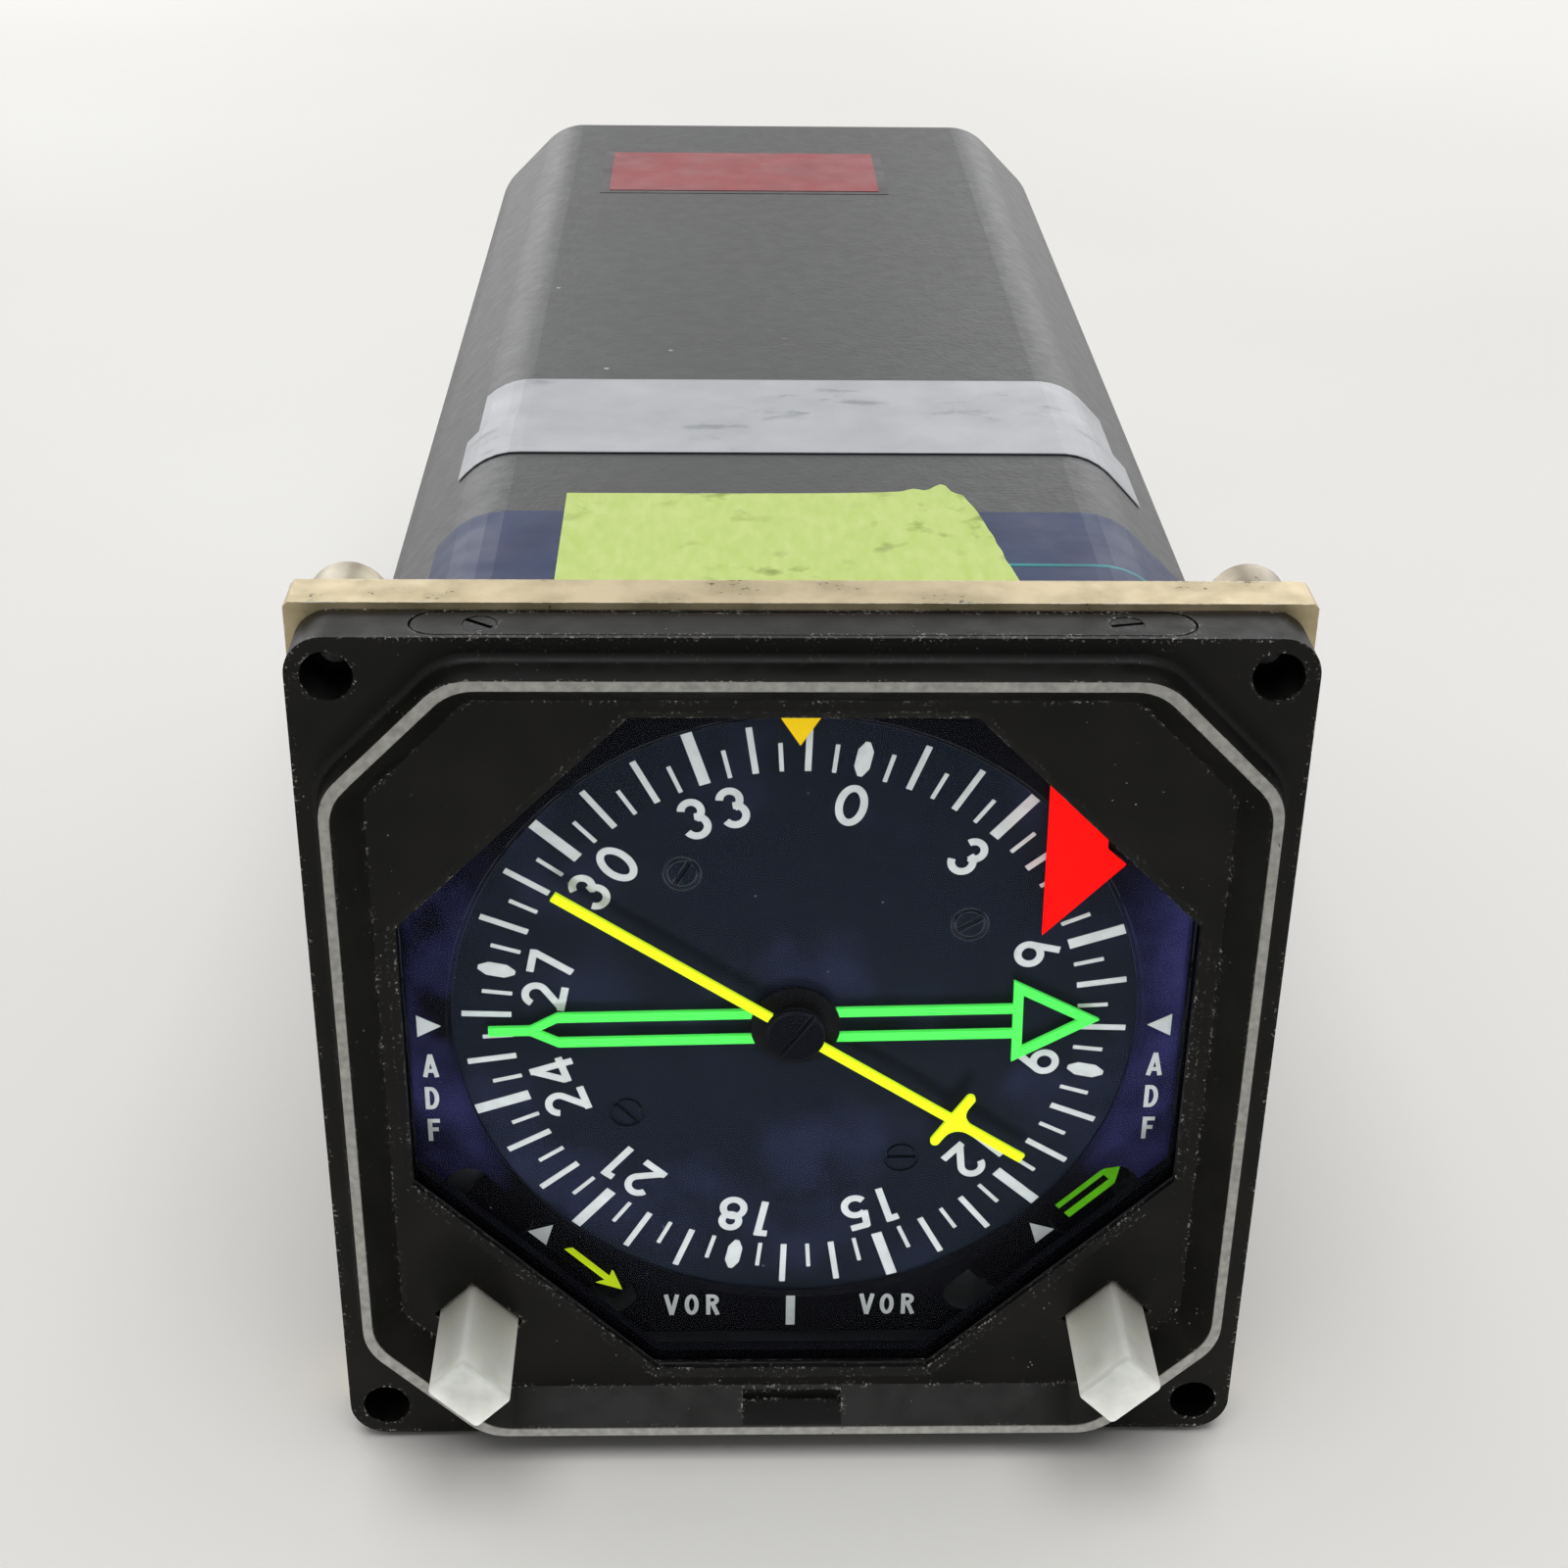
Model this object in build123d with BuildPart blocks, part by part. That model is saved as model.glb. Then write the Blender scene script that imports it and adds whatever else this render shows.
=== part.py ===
from build123d import *
from math import acos, atan2, cos, hypot, pi, radians, sin, sqrt, tan
import os

# A radio magnetic indicator for a three inch panel cut-out, in millimetres.
# X points right and Z up as the pilot sees it, Y runs back into the panel.
# The origin is on the dial axis, in the front plane of the four corner flanges.

# Panel bezel
bezel_side = 83.0
bezel_depth = 5.4
bezel_corner_r = 3.3
screw_inset = 3.4
screw_spacing = bezel_side - 2 * screw_inset
screw_hole_d = 4.3
wall_round_screw = 1.3

# Raised eight sided collar round the window
land_width = 2.35
collar_side = bezel_side - 2 * land_width
collar_cut = 10.8
collar_rise = 3.2
collar_bend_r = 5.5
flank_draft = 8.0
flank_foot_r = 0.7
rim_width = 0.82
well_slope_run = 2.4

# Window, glass and the frame behind it
floor_width = 1.73
window_side = collar_side - 2 * (rim_width + well_slope_run + floor_width)
window_cut_top = 20.0
window_cut_bottom = 21.6
window_bevel = 0.7
window_bevel_depth = 0.4
lip_depth = 1.0
gasket_thick = 0.2
glass_thick = 2.0
glass_overlap = 1.0
retainer_thick = 1.2
retainer_width = 2.6
seat_gap = 0.15

# Blank recess for a name in the lower slope of the collar
recess_half = 4.6
recess_floor_y = 0.35
recess_ledge = 1.2
recess_from_floor = 0.25
recess_from_rim = 0.15

# Lamp channel in the top edge, with a cover held by two screws
cover_length = 63.2
cover_width = 4.4
cover_thick = 1.0
cover_gap = 0.12
cover_edge = 0.12
cover_y = 2.75
cover_screw_x = 26.0
cover_screw_r = 1.35
cover_screw_shank_r = 0.8
cover_screw_length = 3.0
cover_screw_turns = (-35.0, 12.0)
head_recess = 0.05
driver_slot_depth = 0.5
lamp_r = 1.5
lamp_length = 5.0
lamp_pitch = 10.0
lamp_count = 4

# Mounting flange and its anchor nuts
flange_proud = 0.6
flange_side = bezel_side + 2 * flange_proud
flange_depth = 4.6
flange_corner = 0.4
opening_margin = 1.3
opening_side = window_side + 2 * opening_margin
opening_cut = 5.2
nut_body_r = 3.5
nut_length = 5.2
nut_edge = 0.35
nut_washer_r = 3.1
nut_washer_thick = 0.5
nut_thread_r = 1.4
fit = 0.1

# Case
case_step = 3.0
case_side = bezel_side - 2 * case_step
case_cut = 9.25
case_bend_r = 7.0
case_wall = 1.3
case_end_r = 5.0
case_length = 175.0

# Dial stack, each front face measured back from the flange plane
cap_front = 5.3
cap_thick = 0.6
cap_r = 2.62
cap_edge = 0.12
cap_slot = 0.45
cap_slot_depth = 0.35
cap_slot_turn = 54.0
single_front = 5.9
double_front = 7.0
pointer_thick = 0.4
mask_front = 7.2
mask_thick = 0.5
mask_post_r = 1.4
mask_post_drop = 4.0
corner_post_inset = 7.5
flag_post_rise = 1.5
card_front = 8.0
card_thick = 0.8
paint_thick = 0.06

# Marks on the mask, measured out from the aperture, and the lubber mark at its top
index_gap = 0.95
index_length = 2.15
index_half_width = 1.15
index_turns = (90.0, -90.0, 135.0, -135.0)
foot_mark_gap = 0.3
foot_mark_length = 3.5
foot_mark_width = 0.85
lubber_reach = 2.35
lubber_length = 4.5
lubber_half_width = 2.9
lubber_thick = 0.3

# Compass card
card_heading = 348.4
frame_to_aperture = 3.45
aperture_r = window_side / 2 - frame_to_aperture
card_lap = 0.65
card_r = aperture_r + card_lap
aperture_bevel = 0.45
tick_30_outer_r = aperture_r - 0.15
tick_10_outer_r = tick_30_outer_r - 0.7
tick_5_outer_r = tick_10_outer_r - 1.75
tick_inner_r = tick_5_outer_r - 2.7
tick_5_width = 0.38
tick_10_width = 0.56
tick_30_width = 1.0
hexagon_outer_r = tick_inner_r + 3.35
hexagon_width = 1.35
hexagon_tip_width = 0.4
hexagon_point = 0.85
screws_inside_ticks = 7.15
card_screw_circle_r = tick_inner_r - screws_inside_ticks
card_screw_r = 1.3
card_screw_ring_r = 1.65
card_screw_ring_depth = 0.25
card_screw_turns = (32.0, 60.0, -45.0, 0.0)
card_slot_depth = 0.4
driver_slot = 0.45

# Pointers, as clockwise angles from the top of the dial
double_angle = 88.75
single_angle = 123.66
bar_width = 0.88
double_bar_offset = 1.32
double_disc_r = 4.0
double_tip_r = tick_inner_r + 1.85
double_tail_r = double_tip_r + 0.2
head_length = 7.8
head_base_r = double_tip_r - head_length
head_half_width = 4.3
head_wall = 0.9
tail_length = 3.7
fork_length = 2.5
fork_end_r = double_tail_r - tail_length
fork_start_r = fork_end_r - fork_length
single_tip_r = tick_inner_r - 0.15
single_tail_r = single_tip_r + 0.2
wing_from_tip = 7.9
wing_r = single_tip_r - wing_from_tip
wing_span = 6.4
wing_fillet = 1.5

# Coaxial shafts
shaft_r = 1.25
double_tube_r = 2.2
card_tube_r = 3.2
running_gap = 0.05
press_gap = 0.01
hub_collar = 2.0
bush_r = 5.0
bush_flange_r = 6.0
bush_flange_thick = 0.8
tube_proud = 1.0
pivot_r = 0.75

# Warning flag and its pivot, as X and Z on the dial
flag_front = 5.2
flag_thick = 0.3
flag_pivot_inset_x = 5.5
flag_pivot_inset_z = 11.5
flag_pivot = (opening_side / 2 - flag_pivot_inset_x, opening_side / 2 - flag_pivot_inset_z)
flag_boss_r = 1.7
flag_shaft_r = 0.8
flag_shaft_clearance = 0.4
flag_movement_r = 4.6
flag_shaft_in_movement = 4.0
flag_outline = [
    (-8.7, -13.3), (-1.9, -6.2), (-3.6, -4.7), (-3.6, -3.1), (0, -1.7), (0, 1.7), (-8.9, 2.0),
]

# Push buttons in the lower corners
button_from_rim_x = 9.38
button_from_rim_z = 10.68
button_long = 6.0
button_short = 4.7
button_edge_r = 0.5
button_front_r = 0.35
button_proud = 10.5
button_travel = 2.0
button_gap = 0.2
button_shoulder = 1.0
button_shoulder_thick = 1.0
stem_r = 0.9
stem_out = 3.8
stem_clearance = 0.2
spring_wire = 0.3
spring_r = 1.3
spring_turns = 5
spring_end_gap = 0.02
switch_gap = 0.3
switch_long = 9.0
switch_wide = 4.4
switch_depth = 6.0
switch_shift = 1.2
switch_leg_r = 0.8
switch_leg_shift_x = 4.2
switch_leg_shift_z = 0.2
switch_clearance = 0.5

# Turning discs that carry the source symbols
disc_inset_x = 12.0
disc_inset_z = 11.0
disc_r = 8.1
disc_front = 9.1
disc_thick = 0.5
symbol_x = 4.75
symbol_z = 4.65
symbol_length = 7.3
symbol_arrow_width = 0.66
symbol_head_width = 2.3
symbol_head_length = 2.4
symbol_barb = 0.4
slotted_width = 2.2
slotted_bar = 0.72
slotted_head = 1.6
slotted_wall = 0.1
symbol_margin = 0.35
disc_shaft_in_solenoid = 3.0
solenoid_r = 4.4
symbol_window_long = 9.6
symbol_window_wide = 4.4

# Gear trains
card_module = 0.8
card_pinion_teeth = 14
motor_wall_gap = 1.2
double_module = 0.6
double_teeth = 60
double_pinion_teeth = 20
pressure_angle = 20.0
addendum = 0.9
dedendum = 1.2
backlash = 0.12
gear_thick = 0.9
gear_space = 0.1
double_gear_space = 2.0
double_gear_collar = 1.0
double_drive_angle = 225.0

# Chassis
plate_thick = 2.0
plate_fit = 0.1
middle_plate_front = 20.0
rear_plate_front = 30.0
motor_r = 8.0
motor_length = 34.0
synchro_r = 9.5
synchro_length = 36.0
rear_synchro_r = 13.0
rear_synchro_length = 42.0
motor_shaft_r = 1.0
shaft_in_motor = 5.0
motor_edge = 0.6
boss_step = 1.3
boss_outer_inset = 3.0
boss_inner_inset = 5.0
shaft_in_rear_synchro = 9.0
post_r = 1.9
post_edge_gap = 6.2
post_height = 12.0

# Boards
board_thick = 1.6
board_height = 50.0
board_from_post = 4.2
board_lead = 6.0
chip_count = 4
chip_pitch = 16.0
chip_first = 12.0
chip_width = 8.0
chip_height = 18.0
chip_thick = 4.0
part_row = 12.0
can_r = 4.0
can_height = 9.0
transformer_place = 20.0
transformer_length = 26.0
transformer_height = 30.0
transformer_thick = 20.0
capacitor_place = 50.0
capacitor_r = 6.0
capacitor_height = 14.0

# Rear connector
socket_r = 13.0
socket_wall = 1.5
socket_depth = 14.0
socket_inner_reach = 4.0
socket_flange = 32.0
socket_flange_corner_r = 3.0
socket_flange_thick = 2.0
socket_screw_inset = 3.6
socket_screw_r = 1.2
socket_screw_head_r = 2.1
socket_screw_head = 1.3
socket_screw_edge_r = 0.6
socket_slot = 0.65
socket_slot_depth = 0.7
socket_slot_turn = 30.0
bayonet_count = 3
bayonet_r = 0.9
bayonet_proud = 0.9
bayonet_from_end = 5.0
key_width = 1.6
key_height = 0.8
insert_thick = 5.0
insert_proud = 3.0
pin_r = 0.6
pin_proud = 4.0
pin_tail = 2.0
pin_pitch = 4.2
pin_rings = 2


def facing(y, turn=0.0):
    """Plane square to the dial axis, y behind the flange plane, seen from the front.

    Its own X is turned anticlockwise from the row's X, and it extrudes towards the pilot.
    """
    return Plane(
        origin=(0, y, 0),
        x_dir=(cos(radians(turn)), 0, sin(radians(turn))),
        z_dir=(0, -1, 0),
    )


def octagon_points(side, cut_top, cut_bottom=None):
    """Corners of a square of this side whose own corners are cut off."""
    h = side / 2
    t = h - cut_top
    b = h - (cut_top if cut_bottom is None else cut_bottom)
    return [(-t, h), (t, h), (h, t), (h, -b), (b, -h), (-b, -h), (-h, -b), (-h, t)]


def octagon(side, cut_top, cut_bottom=None, bend_r=0.0):
    """Eight sided sketch, with its bends rounded where a radius is given."""
    with BuildSketch() as shape:
        Polygon(*octagon_points(side, cut_top, cut_bottom), align=None)
        if bend_r > 0:
            fillet(shape.vertices(), bend_r)
    return shape.sketch


def octagon_inside(side, cut, inset):
    """Side and corner cut of an octagon drawn this far inside another one."""
    return side - 2 * inset, cut - inset * (2 - sqrt(2))


def gear_sketch(teeth, module, first_tooth_angle, bore_r=0.0):
    """Involute spur gear, thinned for backlash, with one tooth centred on an angle."""
    pitch_r = teeth * module / 2
    base_r = pitch_r * cos(radians(pressure_angle))
    tip_r = pitch_r + addendum * module
    root_r = pitch_r - dedendum * module

    def involute(r):
        slope = acos(min(1.0, base_r / max(r, base_r)))
        return tan(slope) - slope

    def half_angle(r):
        half_tooth = (pi * module / 2 - backlash) / 2 / pitch_r
        return half_tooth + involute(pitch_r) - involute(r)

    flank = [root_r, (root_r + pitch_r) / 2, (pitch_r + tip_r) / 2, tip_r]
    points = []
    for tooth in range(teeth):
        middle = radians(first_tooth_angle) + 2 * pi * tooth / teeth
        for r in flank:
            a = middle - half_angle(r)
            points.append((r * cos(a), r * sin(a)))
        for r in reversed(flank):
            a = middle + half_angle(r)
            points.append((r * cos(a), r * sin(a)))
    with BuildSketch() as shape:
        Polygon(*points, align=None)
        if bore_r > 0:
            Circle(bore_r, mode=Mode.SUBTRACT)
    return shape.sketch


# Depths that follow from the stack
glass_front = lip_depth + gasket_thick
retainer_front = glass_front + glass_thick
retainer_back = retainer_front + retainer_thick
flange_front = bezel_depth
flange_back = flange_front + flange_depth
front_plate_front = flange_back
front_plate_back = front_plate_front + plate_thick
case_front = flange_back
case_back = case_front + case_length
mask_back = mask_front + mask_thick
card_back = card_front + card_thick
single_back = single_front + pointer_thick
double_back = double_front + pointer_thick
middle_plate_back = middle_plate_front + plate_thick
rear_plate_back = rear_plate_front + plate_thick

# Octagons that follow from the window and the collar
well_side, well_cut = octagon_inside(collar_side, collar_cut, rim_width)
well_bend_r = collar_bend_r - rim_width
floor_side, floor_cut = octagon_inside(well_side, well_cut, well_slope_run)
floor_bend_r = well_bend_r - well_slope_run
glass_side, glass_cut_top = octagon_inside(window_side, window_cut_top, -glass_overlap)
glass_cut_bottom = octagon_inside(window_side, window_cut_bottom, -glass_overlap)[1]
seat_side, seat_cut_top = octagon_inside(glass_side, glass_cut_top, -seat_gap)
seat_cut_bottom = octagon_inside(glass_side, glass_cut_bottom, -seat_gap)[1]
retainer_side, retainer_cut_top = octagon_inside(window_side, window_cut_top, -retainer_width)
retainer_cut_bottom = octagon_inside(window_side, window_cut_bottom, -retainer_width)[1]
pocket_side = retainer_side + 2 * seat_gap
screw_reach = screw_spacing / sqrt(2) - screw_hole_d / 2 - wall_round_screw
pocket_cut = pocket_side - screw_reach * sqrt(2)
case_inner_side, case_inner_cut = octagon_inside(case_side, case_cut, case_wall)
plate_side, plate_cut = octagon_inside(case_inner_side, case_inner_cut, plate_fit)
plate_bend_r = case_bend_r - case_wall - plate_fit
sides = (-1, 1)
corner_holes = [(x * screw_spacing / 2, z * screw_spacing / 2) for x in sides for z in sides]

# Posts of the mask, clear of the card, the flag, the buttons and the discs
post_reach = opening_side / 2 - seat_gap - mask_post_r
corner_reach = post_reach - corner_post_inset
mask_post_places = [
    (-post_reach, -mask_post_drop), (post_reach, -mask_post_drop),
    (-corner_reach, corner_reach), (corner_reach, corner_reach + flag_post_rise),
]

# Top edge of the bezel
top_plane = Plane(origin=(0, cover_y, bezel_side / 2), x_dir=(1, 0, 0), z_dir=(0, 0, 1))
lamp_top = bezel_side / 2 - cover_thick
lamp_places = [(k - (lamp_count - 1) / 2) * lamp_pitch for k in range(lamp_count)]

# Source discs and button geometry along the corner diagonal
disc_x = opening_side / 2 - disc_inset_x
disc_z = -(opening_side / 2 - disc_inset_z)
button_x = well_side / 2 - button_from_rim_x
button_z = -(well_side / 2 - button_from_rim_z)
stem_x = button_x + stem_out / sqrt(2)
stem_z = button_z - stem_out / sqrt(2)
corner_back = retainer_front
shoulder_front = corner_back + gasket_thick
shoulder_back = shoulder_front + button_shoulder_thick
stem_end = front_plate_back + button_travel
switch_front = stem_end + button_travel + switch_gap

# Centres of the two places of each source symbol, on either side of its disc
symbol_places = [
    (disc_x - symbol_x, disc_z - symbol_z),
    (disc_x + symbol_x, disc_z + symbol_z),
]

# The card's pinion is straight above the dial axis, with its motor inside the case
card_drive_space = case_inner_side / 2 - motor_r - motor_wall_gap
card_teeth = round(2 * card_drive_space / card_module) - card_pinion_teeth
card_drive_distance = (card_teeth + card_pinion_teeth) * card_module / 2
double_drive_distance = (double_teeth + double_pinion_teeth) * double_module / 2
double_drive_x = double_drive_distance * cos(radians(double_drive_angle))
double_drive_z = double_drive_distance * sin(radians(double_drive_angle))
gear_front = card_back + gear_space
gear_back = gear_front + gear_thick
double_gear_front = middle_plate_back + double_gear_space
double_gear_back = double_gear_front + gear_thick
shaft_seat = rear_plate_back + shaft_in_rear_synchro


def button_turn(side):
    """The long side of a button lies along the cut of its own corner."""
    return 45.0 * side


with BuildPart() as bezel:
    with BuildSketch(facing(bezel_depth)):
        RectangleRounded(bezel_side, bezel_side, bezel_corner_r)
    extrude(amount=bezel_depth)
    with BuildSketch(facing(0)):
        foot = 2 * collar_rise * tan(radians(flank_draft))
        add(octagon(collar_side + foot, collar_cut, bend_r=collar_bend_r))
    extrude(amount=collar_rise, taper=flank_draft)
    # the collar's foot is the inner outline of the flat land round it
    land = bezel.faces().filter_by_position(Axis.Y, -fit, fit)[0]
    fillet(land.inner_wires()[0].edges(), flank_foot_r)
    # the well slopes from the rim down to the flat frame face
    with BuildSketch(facing(-collar_rise)):
        add(octagon(well_side, well_cut, bend_r=well_bend_r))
    with BuildSketch(facing(0)):
        add(octagon(floor_side, floor_cut, bend_r=floor_bend_r))
    loft(mode=Mode.SUBTRACT)
    # bevelled window opening
    with BuildSketch(facing(0)):
        wide_side, wide_cut_top = octagon_inside(window_side, window_cut_top, -window_bevel)
        wide_cut_bottom = octagon_inside(window_side, window_cut_bottom, -window_bevel)[1]
        add(octagon(wide_side, wide_cut_top, wide_cut_bottom))
    with BuildSketch(facing(window_bevel_depth)):
        add(octagon(window_side, window_cut_top, window_cut_bottom))
    loft(mode=Mode.SUBTRACT)
    with BuildSketch(facing(bezel_depth)):
        add(octagon(window_side, window_cut_top, window_cut_bottom))
    extrude(amount=bezel_depth - window_bevel_depth, mode=Mode.SUBTRACT)
    # seat of the glass, then the wider pocket behind it
    with BuildSketch(facing(bezel_depth)):
        add(octagon(seat_side, seat_cut_top, seat_cut_bottom))
    extrude(amount=bezel_depth - lip_depth, mode=Mode.SUBTRACT)
    with BuildSketch(facing(bezel_depth)):
        add(octagon(pocket_side, pocket_cut))
    extrude(amount=bezel_depth - corner_back, mode=Mode.SUBTRACT)
    # corner screw holes and button slots
    with BuildSketch(facing(bezel_depth)):
        with Locations(*corner_holes):
            Circle(screw_hole_d / 2)
    extrude(amount=bezel_depth, mode=Mode.SUBTRACT)
    for side in sides:
        with BuildSketch(facing(corner_back)):
            with Locations((side * button_x, button_z)):
                Rectangle(
                    button_long + 2 * button_gap,
                    button_short + 2 * button_gap,
                    rotation=button_turn(side),
                )
        extrude(amount=corner_back + collar_rise, mode=Mode.SUBTRACT)
    # shallow blank recess in the lower slope
    recess_top = -floor_side / 2 - recess_from_floor
    recess_low = -well_side / 2 + recess_from_rim
    with BuildSketch(Plane.YZ.offset(-recess_half)):
        Polygon(
            (-recess_floor_y, recess_top), (-recess_floor_y, recess_top - recess_ledge),
            (recess_from_rim - collar_rise, recess_low), (-2 * collar_rise, recess_low),
            (-2 * collar_rise, recess_top), align=None,
        )
    extrude(amount=2 * recess_half, mode=Mode.SUBTRACT)
    # lamp channel and cover seat in the top edge
    with BuildSketch(top_plane):
        SlotOverall(cover_length + 2 * cover_gap, cover_width + 2 * cover_gap)
    extrude(amount=-cover_thick, mode=Mode.SUBTRACT)
    with BuildSketch(top_plane.offset(-cover_thick)):
        for x in lamp_places:
            with Locations((x, 0)):
                Rectangle(lamp_length + 2 * fit, 2 * lamp_r + 2 * fit)
    extrude(amount=-(2 * lamp_r + fit), mode=Mode.SUBTRACT)
    with BuildSketch(top_plane.offset(-cover_thick)):
        with Locations((-cover_screw_x, 0), (cover_screw_x, 0)):
            Circle(cover_screw_shank_r + fit / 2)
    extrude(amount=-(cover_screw_length - cover_thick + fit), mode=Mode.SUBTRACT)
bezel.part.label = "bezel"

with BuildPart() as lamp_cover:
    with BuildSketch(top_plane):
        SlotOverall(cover_length, cover_width)
        with Locations((-cover_screw_x, 0), (cover_screw_x, 0)):
            Circle(cover_screw_r + fit / 2, mode=Mode.SUBTRACT)
    extrude(amount=-cover_thick)
    chamfer(lamp_cover.faces().sort_by(Axis.Z)[-1].outer_wire().edges(), cover_edge)
lamp_cover.part.label = "lamp_cover"

with BuildPart() as lamp_cover_screws:
    with BuildSketch(top_plane.offset(-head_recess)):
        with Locations((-cover_screw_x, 0), (cover_screw_x, 0)):
            Circle(cover_screw_r)
    extrude(amount=-(cover_thick - head_recess))
    with BuildSketch(top_plane.offset(-cover_thick)):
        with Locations((-cover_screw_x, 0), (cover_screw_x, 0)):
            Circle(cover_screw_shank_r)
    extrude(amount=-(cover_screw_length - cover_thick))
    with BuildSketch(top_plane.offset(-head_recess)):
        for side, turn in zip(sides, cover_screw_turns):
            with Locations((side * cover_screw_x, 0)):
                Rectangle(3 * cover_screw_r, driver_slot, rotation=turn)
    extrude(amount=-driver_slot_depth, mode=Mode.SUBTRACT)
lamp_cover_screws.part.label = "lamp_cover_screws"

with BuildPart() as dial_lamps:
    for x in lamp_places:
        with BuildSketch(Plane.YZ.offset(x - lamp_length / 2)):
            with Locations((cover_y, lamp_top - lamp_r)):
                Circle(lamp_r)
        extrude(amount=lamp_length)
dial_lamps.part.label = "dial_lamps"

with BuildPart() as glass_gasket:
    with BuildSketch(facing(glass_front)):
        add(octagon(glass_side, glass_cut_top, glass_cut_bottom))
        add(octagon(window_side, window_cut_top, window_cut_bottom), mode=Mode.SUBTRACT)
    extrude(amount=gasket_thick)
glass_gasket.part.label = "glass_gasket"

with BuildPart() as front_glass:
    with BuildSketch(facing(retainer_front)):
        add(octagon(glass_side, glass_cut_top, glass_cut_bottom))
    extrude(amount=glass_thick)
front_glass.part.label = "front_glass"

with BuildPart() as glass_retainer:
    with BuildSketch(facing(retainer_back)):
        add(octagon(retainer_side, retainer_cut_top, retainer_cut_bottom))
        add(octagon(window_side, window_cut_top, window_cut_bottom), mode=Mode.SUBTRACT)
    extrude(amount=retainer_thick)
glass_retainer.part.label = "glass_retainer"

# The flange's spigot reaches into the bezel and clamps the glass frame
with BuildPart() as mounting_flange:
    with BuildSketch(facing(flange_back)):
        Rectangle(flange_side, flange_side)
    extrude(amount=flange_depth)
    chamfer(mounting_flange.edges().filter_by(Axis.Y), flange_corner)
    with BuildSketch(facing(flange_front)):
        add(octagon(pocket_side - 2 * seat_gap, pocket_cut + fit))
    extrude(amount=flange_front - retainer_back)
    with BuildSketch(facing(flange_back)):
        add(octagon(opening_side, opening_cut))
        with Locations(*corner_holes):
            Circle(screw_hole_d / 2)
    extrude(amount=flange_back - retainer_back, mode=Mode.SUBTRACT)
mounting_flange.part.label = "mounting_flange"

with BuildPart() as anchor_nuts:
    with BuildSketch(facing(flange_back + nut_length)):
        with Locations(*corner_holes):
            Circle(nut_body_r)
    extrude(amount=nut_length - nut_washer_thick)
    with BuildSketch(facing(flange_back + nut_washer_thick)):
        with Locations(*corner_holes):
            Circle(nut_washer_r)
    extrude(amount=nut_washer_thick)
    with BuildSketch(facing(flange_back)):
        with Locations(*corner_holes):
            Circle(screw_hole_d / 2 - fit / 2)
    extrude(amount=flange_depth - fit)
    with BuildSketch(facing(flange_back + nut_length)):
        with Locations(*corner_holes):
            Circle(nut_thread_r)
    extrude(amount=nut_length + flange_depth, mode=Mode.SUBTRACT)
    rear_rims = anchor_nuts.edges().group_by(Axis.Y)[-1].filter_by(
        lambda e: abs(e.radius - nut_body_r) < 0.01
    )
    chamfer(rear_rims, nut_edge)
anchor_nuts.part.label = "anchor_nuts"

with BuildPart() as dial_mask:
    with BuildSketch(facing(mask_back)):
        add(octagon(opening_side - 2 * seat_gap, opening_cut))
        Circle(aperture_r, mode=Mode.SUBTRACT)
        with Locations(flag_pivot):
            Circle(flag_shaft_r + flag_shaft_clearance, mode=Mode.SUBTRACT)
        for side in sides:
            with Locations((side * stem_x, stem_z)):
                Circle(spring_r + 2 * spring_wire, mode=Mode.SUBTRACT)
            for x, z in symbol_places:
                with Locations((side * x, z)):
                    SlotOverall(
                        symbol_window_long, symbol_window_wide,
                        rotation=45.0 * side, mode=Mode.SUBTRACT,
                    )
    extrude(amount=mask_thick)
    aperture_rim = dial_mask.edges().group_by(Axis.Y)[0].filter_by(GeomType.CIRCLE)
    chamfer(aperture_rim.sort_by(SortBy.RADIUS)[-1], aperture_bevel)
dial_mask.part.label = "dial_mask"

with BuildPart() as lubber_mark:
    with BuildSketch(facing(mask_front)):
        tip = aperture_r - lubber_reach
        base = tip + lubber_length
        Polygon((0, tip), (lubber_half_width, base), (-lubber_half_width, base), align=None)
    extrude(amount=lubber_thick)
lubber_mark.part.label = "lubber_mark"

with BuildPart() as index_marks:
    tip = aperture_r + index_gap
    base = tip + index_length
    for turn in index_turns:
        with BuildSketch(facing(mask_front, turn)):
            Polygon((0, tip), (index_half_width, base), (-index_half_width, base), align=None)
        extrude(amount=paint_thick)
    with BuildSketch(facing(mask_front)):
        with Locations((0, -(aperture_r + foot_mark_gap + foot_mark_length / 2))):
            Rectangle(foot_mark_width, foot_mark_length)
    extrude(amount=paint_thick)
index_marks.part.label = "index_marks"

# Two posts stand flush with the sides of the mask and two behind its upper corners
with BuildPart() as mask_posts:
    with BuildSketch(facing(front_plate_front)):
        with Locations(*mask_post_places):
            Circle(mask_post_r)
    extrude(amount=front_plate_front - mask_back)
mask_posts.part.label = "mask_posts"

with BuildPart() as front_plate:
    with BuildSketch(facing(front_plate_back)):
        add(octagon(plate_side, plate_cut, bend_r=plate_bend_r))
        Circle(bush_r, mode=Mode.SUBTRACT)
        with Locations((0, card_drive_distance)):
            Circle(motor_shaft_r + running_gap, mode=Mode.SUBTRACT)
        with Locations(flag_pivot):
            Circle(flag_shaft_r + running_gap, mode=Mode.SUBTRACT)
        for side in sides:
            with Locations((side * stem_x, stem_z)):
                Circle(stem_r + stem_clearance, mode=Mode.SUBTRACT)
            with Locations((side * disc_x, disc_z)):
                Circle(motor_shaft_r + running_gap, mode=Mode.SUBTRACT)
    extrude(amount=plate_thick)
front_plate.part.label = "front_plate"

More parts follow.
